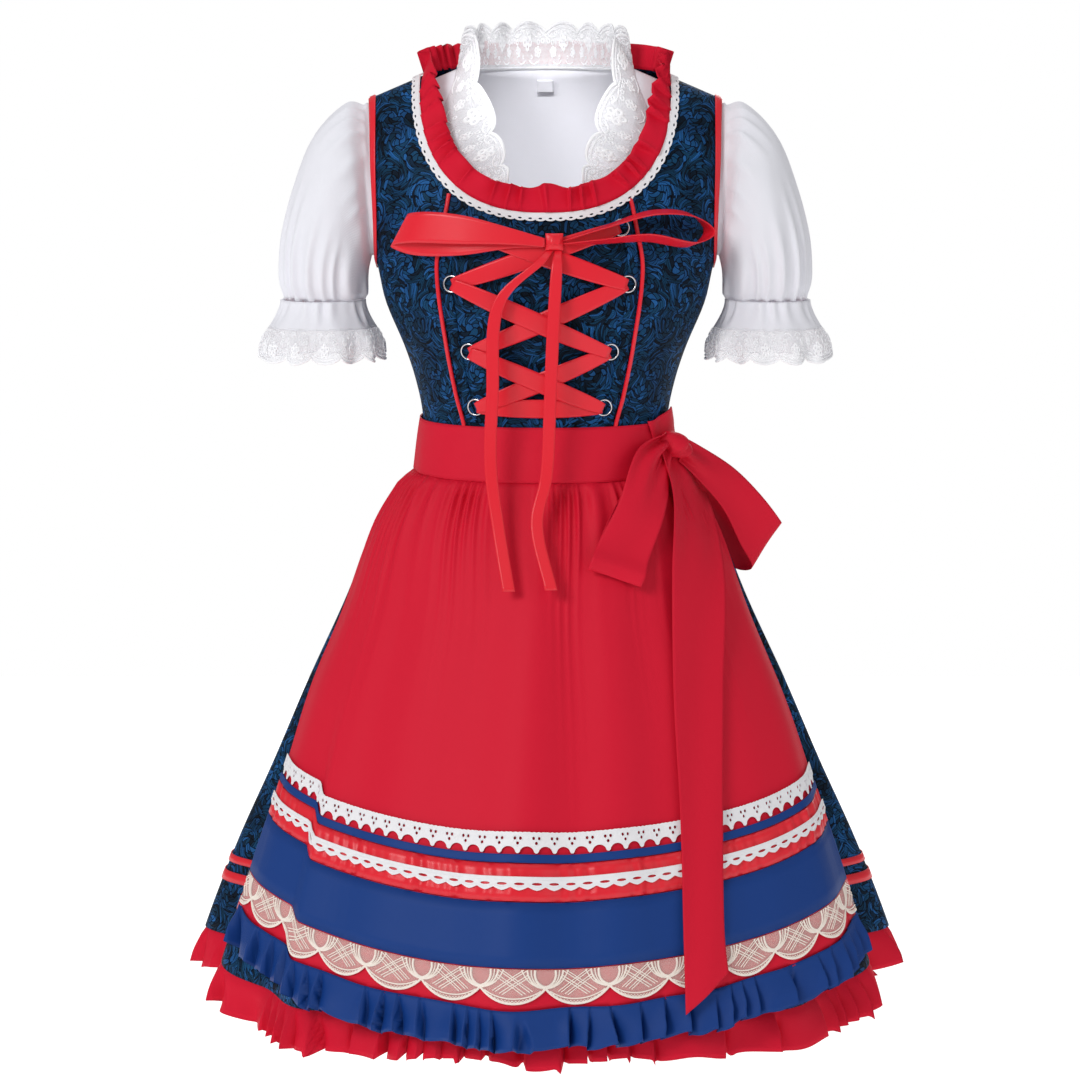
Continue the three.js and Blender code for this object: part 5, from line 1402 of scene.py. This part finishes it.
# Cream lace: a scalloped net over the red, and on it thick threads that fan out from a knot at
# each meeting of two scallops, cross in a lattice between them and edge every scallop.
CREAM_UNIT = (66, 33)
CREAM_COUNT = 13


def cream_edge(x, inset=0.0):
    """Height of the scalloped edge at a distance from its knot."""
    return -17.2 - (15 - inset) * (1 - (1 - np.abs(x) / 33) ** 2.1) ** 0.9 + inset * 0.2


def cream_net_place(u, v, out):
    along = (np.mod(u * CREAM_COUNT, 1) - 0.5) * CREAM_UNIT[0]
    return trim_place(884, 917, 0)(u, v * -cream_edge(along) / CREAM_UNIT[1], out)


def curved(knots, steps=9):
    """A smooth line through a few points."""
    flat_knots = np.array([(x, y, 0) for x, y in knots], float)
    return [(x, y) for x, y, _ in smooth_path(flat_knots, np.linspace(0, 1, steps))]


rim = np.linspace(0, 33, 15)
zigzag = [(x, cream_edge(x, 1.4 + 1.3 * (k % 2))) for k, x in enumerate(np.linspace(3, 33, 18))]
threads = both_hands([
    (curved([(10.5, -0.4), (10.8, -5), (9, -10.5), (4.5, -14.6), (0, -16.2)]), 1.2, 0.9, False),
    (curved([(14.6, -0.4), (14, -6), (11, -11.6), (6, -15.2), (0, -16.8)]), 0.65, 0.7, False),
    (curved([(18.6, -0.4), (17.2, -6), (13, -12), (7, -15.8), (0, -17.2)]), 1.0, 0.8, False),
    (curved([(24, -0.4), (21, -6), (16, -11.6), (8, -16), (0, -17.6)]), 0.65, 0.7, False),
    ([(22, -0.5), (33, -7.2)], 0.5, 0.6, False), ([(19, -1.2), (33, -9.6)], 0.5, 0.6, False),
    ([(17, -4.6), (33, -14.2)], 0.5, 0.6, False), ([(15.4, -6.4), (33, -16.8)], 0.5, 0.6, False),
    ([(33, -7.2), (13, -20)], 0.5, 0.6, False), ([(33, -9.6), (16, -20.8)], 0.5, 0.6, False),
    ([(33, -14.2), (20, -22.4)], 0.5, 0.6, False), ([(33, -16.8), (23, -23.4)], 0.5, 0.6, False),
    (list(zip(rim, cream_edge(rim, 0.5))), 1.2, 0.9, False),
    (list(zip(rim[2:], cream_edge(rim[2:], 4.2))), 0.65, 0.7, False),
    (zigzag, 0.4, 0.6, False),
])
threads.append((arc((0, -17), 1.6, 0, 330, 8), 0.8, 1.0, True))
cream_unit = unit_mesh("cream_unit", threads=threads)
made = cloth("cream_lace_net", cream_net_place, 650, 6, 0.3)
dress(made, cream_net, "cream_lace", ["apron_scallop_lace"])
lace("cream_lace_threads", trim_place(884, 917, 0.1), (420, 10), cream_unit, CREAM_UNIT, CREAM_COUNT, cream_thread)
for unit_of_lace in (flower_lace, braid, eyelet_unit, torchon_unit, cream_unit):
    bpy.data.objects.remove(unit_of_lace)

# Apron ruffle: blue satin gathered to the apron's hem in uneven flat pleats
RUFFLE = {"waves": 31, "pleat": 8.5}


def ruffle_face(u, v):
    share, drop = 2 * u - 1, mix(APRON_HEM - 2, RUFFLE_HEM, v)
    phase = RUFFLE["waves"] * u + 0.125 + 1.1 * uneven(u, 111, 2, 9) + 0.3 * v * uneven(u, 117, 4, 20)
    pleat = flat_pleat(phase) * RUFFLE["pleat"] * mix(0.1, 1, smooth(v, 0, 0.7)) * (0.8 + 0.4 * uneven(u, 113, 3, 16))
    hem = 2.6 * v * (uneven(u, 115, 7, 30) + 0.5 * flat_pleat(phase))
    return apron_face(share, drop - hem, apron_fall(u, APRON_HEM)) + times(apron_normal(share, drop), pleat + 1.9)


dress(cloth("blue_ruffle", moved_out(ruffle_face, 0.02), 620, 10, 1.0), blue_satin, "blue_satin",
      ["apron_ruffle"])

# Apron waistband: a folded band of the apron's cloth, all round the waist, creased towards the bow
BAND_LEVEL = 3.4
KNOT_TURN = 1.28
KNOT_DROP = 374


def band_place(u, v, out):
    drop, turn = mix(BAND_TOP, BAND_BOTTOM, v), 2 * np.pi * (u - 0.5)
    beside, below_knot = (turn - KNOT_TURN) * read(TORSO, "half", drop), drop - KNOT_DROP
    away, angle = np.hypot(beside, below_knot), np.arctan2(below_knot, -beside)
    pulled = smooth(away, 2, 14) * np.exp(-(away / 75) ** 2)
    crease = 3.4 * pulled * np.cos(8.5 * angle + 0.6) + 0.7 * uneven(u + 0.03 * v, 121, 3, 14)
    level = BAND_LEVEL + crease * np.sin(np.pi * np.clip(v, 0.02, 0.98)) + out
    top, bottom = torso_point(turn, np.full_like(turn, -BAND_TOP), level), skirt_point(turn, BAND_BOTTOM, level)
    return top + times(bottom - top, v)


dress(cloth("apron_band", band_place, 200, 16, APRON_WALL, closed=True), red_apron, "red_apron_cloth",
      ["apron_waistband"])

# Side bow: the apron's ties knotted at the wearer's left, with two loops and one long cut tail
def over_apron(x, drop, out):
    x, drop = np.asarray(x, float), np.asarray(drop, float)
    covered = np.maximum(drop, BAND_BOTTOM)
    stand_off = read(APRON, "stand_off", covered)
    turn = np.arcsin(np.clip(x / (read(SKIRT, "half", covered) + stand_off), -1, 1))
    return skirt_face(turn, drop, stand_off + APRON_WALL + out, 0)


FRONT_LOOP = table(
    "ax a_drop bx b_drop out",
    (128, 362, 133, 388, 6), (90, 374, 124, 408, 13), (66, 428, 114, 446, 17), (49, 468, 103, 488, 14),
    (43, 483, 99, 503, 19), (41, 494, 97, 514, 13), (46, 484, 100, 504, 6), (68, 428, 113, 446, 5.5),
    (122, 376, 131, 391, 4),
)
SIDE_LOOP = [
    ((145.9, -41.9, -368), (144, -47, -396)), ((165, -22, -381), (160, -36, -412)),
    ((208, -4, -411), (194, -20, -452)), ((242, 0, -446), (214, -14, -492)),
    ((261, 4, -472), (228, -6, -521)), ((256, 14, -470), (212, 8, -525)),
    ((205, 16, -424), (178, 6, -494)), ((153, -22, -383), (150, -30, -410)),
]
BOW_TAIL = table(
    "left right drop out slant",
    (120, 160, 378, 6, 0), (124, 174, 425, 14, 0), (129, 185, 505, 14, 0), (138, 193, 625, 7, 0),
    (146, 193, 740, 6, 0), (149, 194, 860, 7, 0), (150, 197, 908, 9, 17),
)
front, tail = FRONT_LOOP, BOW_TAIL
bow_pieces = [
    ("loop_front", over_apron(front["ax"], front["a_drop"], front["out"]),
     over_apron(front["bx"], front["b_drop"], front["out"]), (7, 2.3, 0.26, 4.2)),
    ("loop_side", [row[0] for row in SIDE_LOOP], [row[1] for row in SIDE_LOOP], (5, 1.8, 0.26, 3.0)),
    ("tail", over_apron(tail["left"], tail["drop"] + tail["slant"], tail["out"]),
     over_apron(tail["right"], tail["drop"] - tail["slant"], tail["out"]), (6.2, 1.55, 0.42, 3.4)),
]


def soft_folds(creases, count, fade, roll):
    """Creases that start at the knot and fade along a ribbon, over a slow roll of the whole."""
    def bend(u, v):
        ends = np.minimum(v, 1 - v) if fade < 0.3 else v
        depth = creases * np.cos(2 * np.pi * count * u + 0.5) * (1 - smooth(ends, 0.0, fade)) * smooth(ends, 0, 0.03)
        return points(0.25, -1, 0) * (depth + roll * np.sin(np.pi * u) * np.sin(7 * v + 2 * u))[..., None]
    return bend


for name, edge_a, edge_b, folds in bow_pieces:
    ribbon = ribbon_between(edge_a, edge_b, soft_folds(*folds))
    dress(cloth(f"side_bow_{name}", ribbon, 20, 100, RIBBON_WALL), red_apron, "red_apron_cloth",
          [f"apron_bow_{name}"])


def bow_knot_place(u, v, out):
    around, up = 2 * np.pi * u, np.pi * mix(0.04, 0.96, v)
    folds = (1 + 0.17 * np.cos(4 * around + 3.4 * up)) * np.sin(up)
    ball = points(19 * np.cos(around) * folds, 12 * np.sin(around) * folds, 14 * np.cos(up) - 4 * np.cos(around) * folds)
    angle = np.radians(20)
    x = ball[..., 0] * np.cos(angle) - ball[..., 1] * np.sin(angle)
    y = ball[..., 0] * np.sin(angle) + ball[..., 1] * np.cos(angle)
    return points(138.8 + x, -51.4 + y, -377 + ball[..., 2]) + times(unit(ball), out)


dress(cloth("side_bow_knot", bow_knot_place, 40, 24, 2.0, closed=True), red_apron, "red_apron_cloth",
      ["apron_bow_knot"])


def band_end_place(u, v, out):
    """The end of the band, folded up above the knot."""
    fold = 1.2 * np.sin(2 * np.pi * (1.4 * u + 0.3 * v))
    return chest(mix(106, 131, u) + 5 * v, mix(349 - 12 * u ** 2, 378, v), BAND_LEVEL + 2 + 4 * v + fold + out)


dress(cloth("band_end", band_end_place, 20, 30, APRON_WALL), red_apron, "red_apron_cloth", [])

size = {"cad_box": [list(corner) for corner in cad_box], "visual_box": [list(corner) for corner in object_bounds()]}
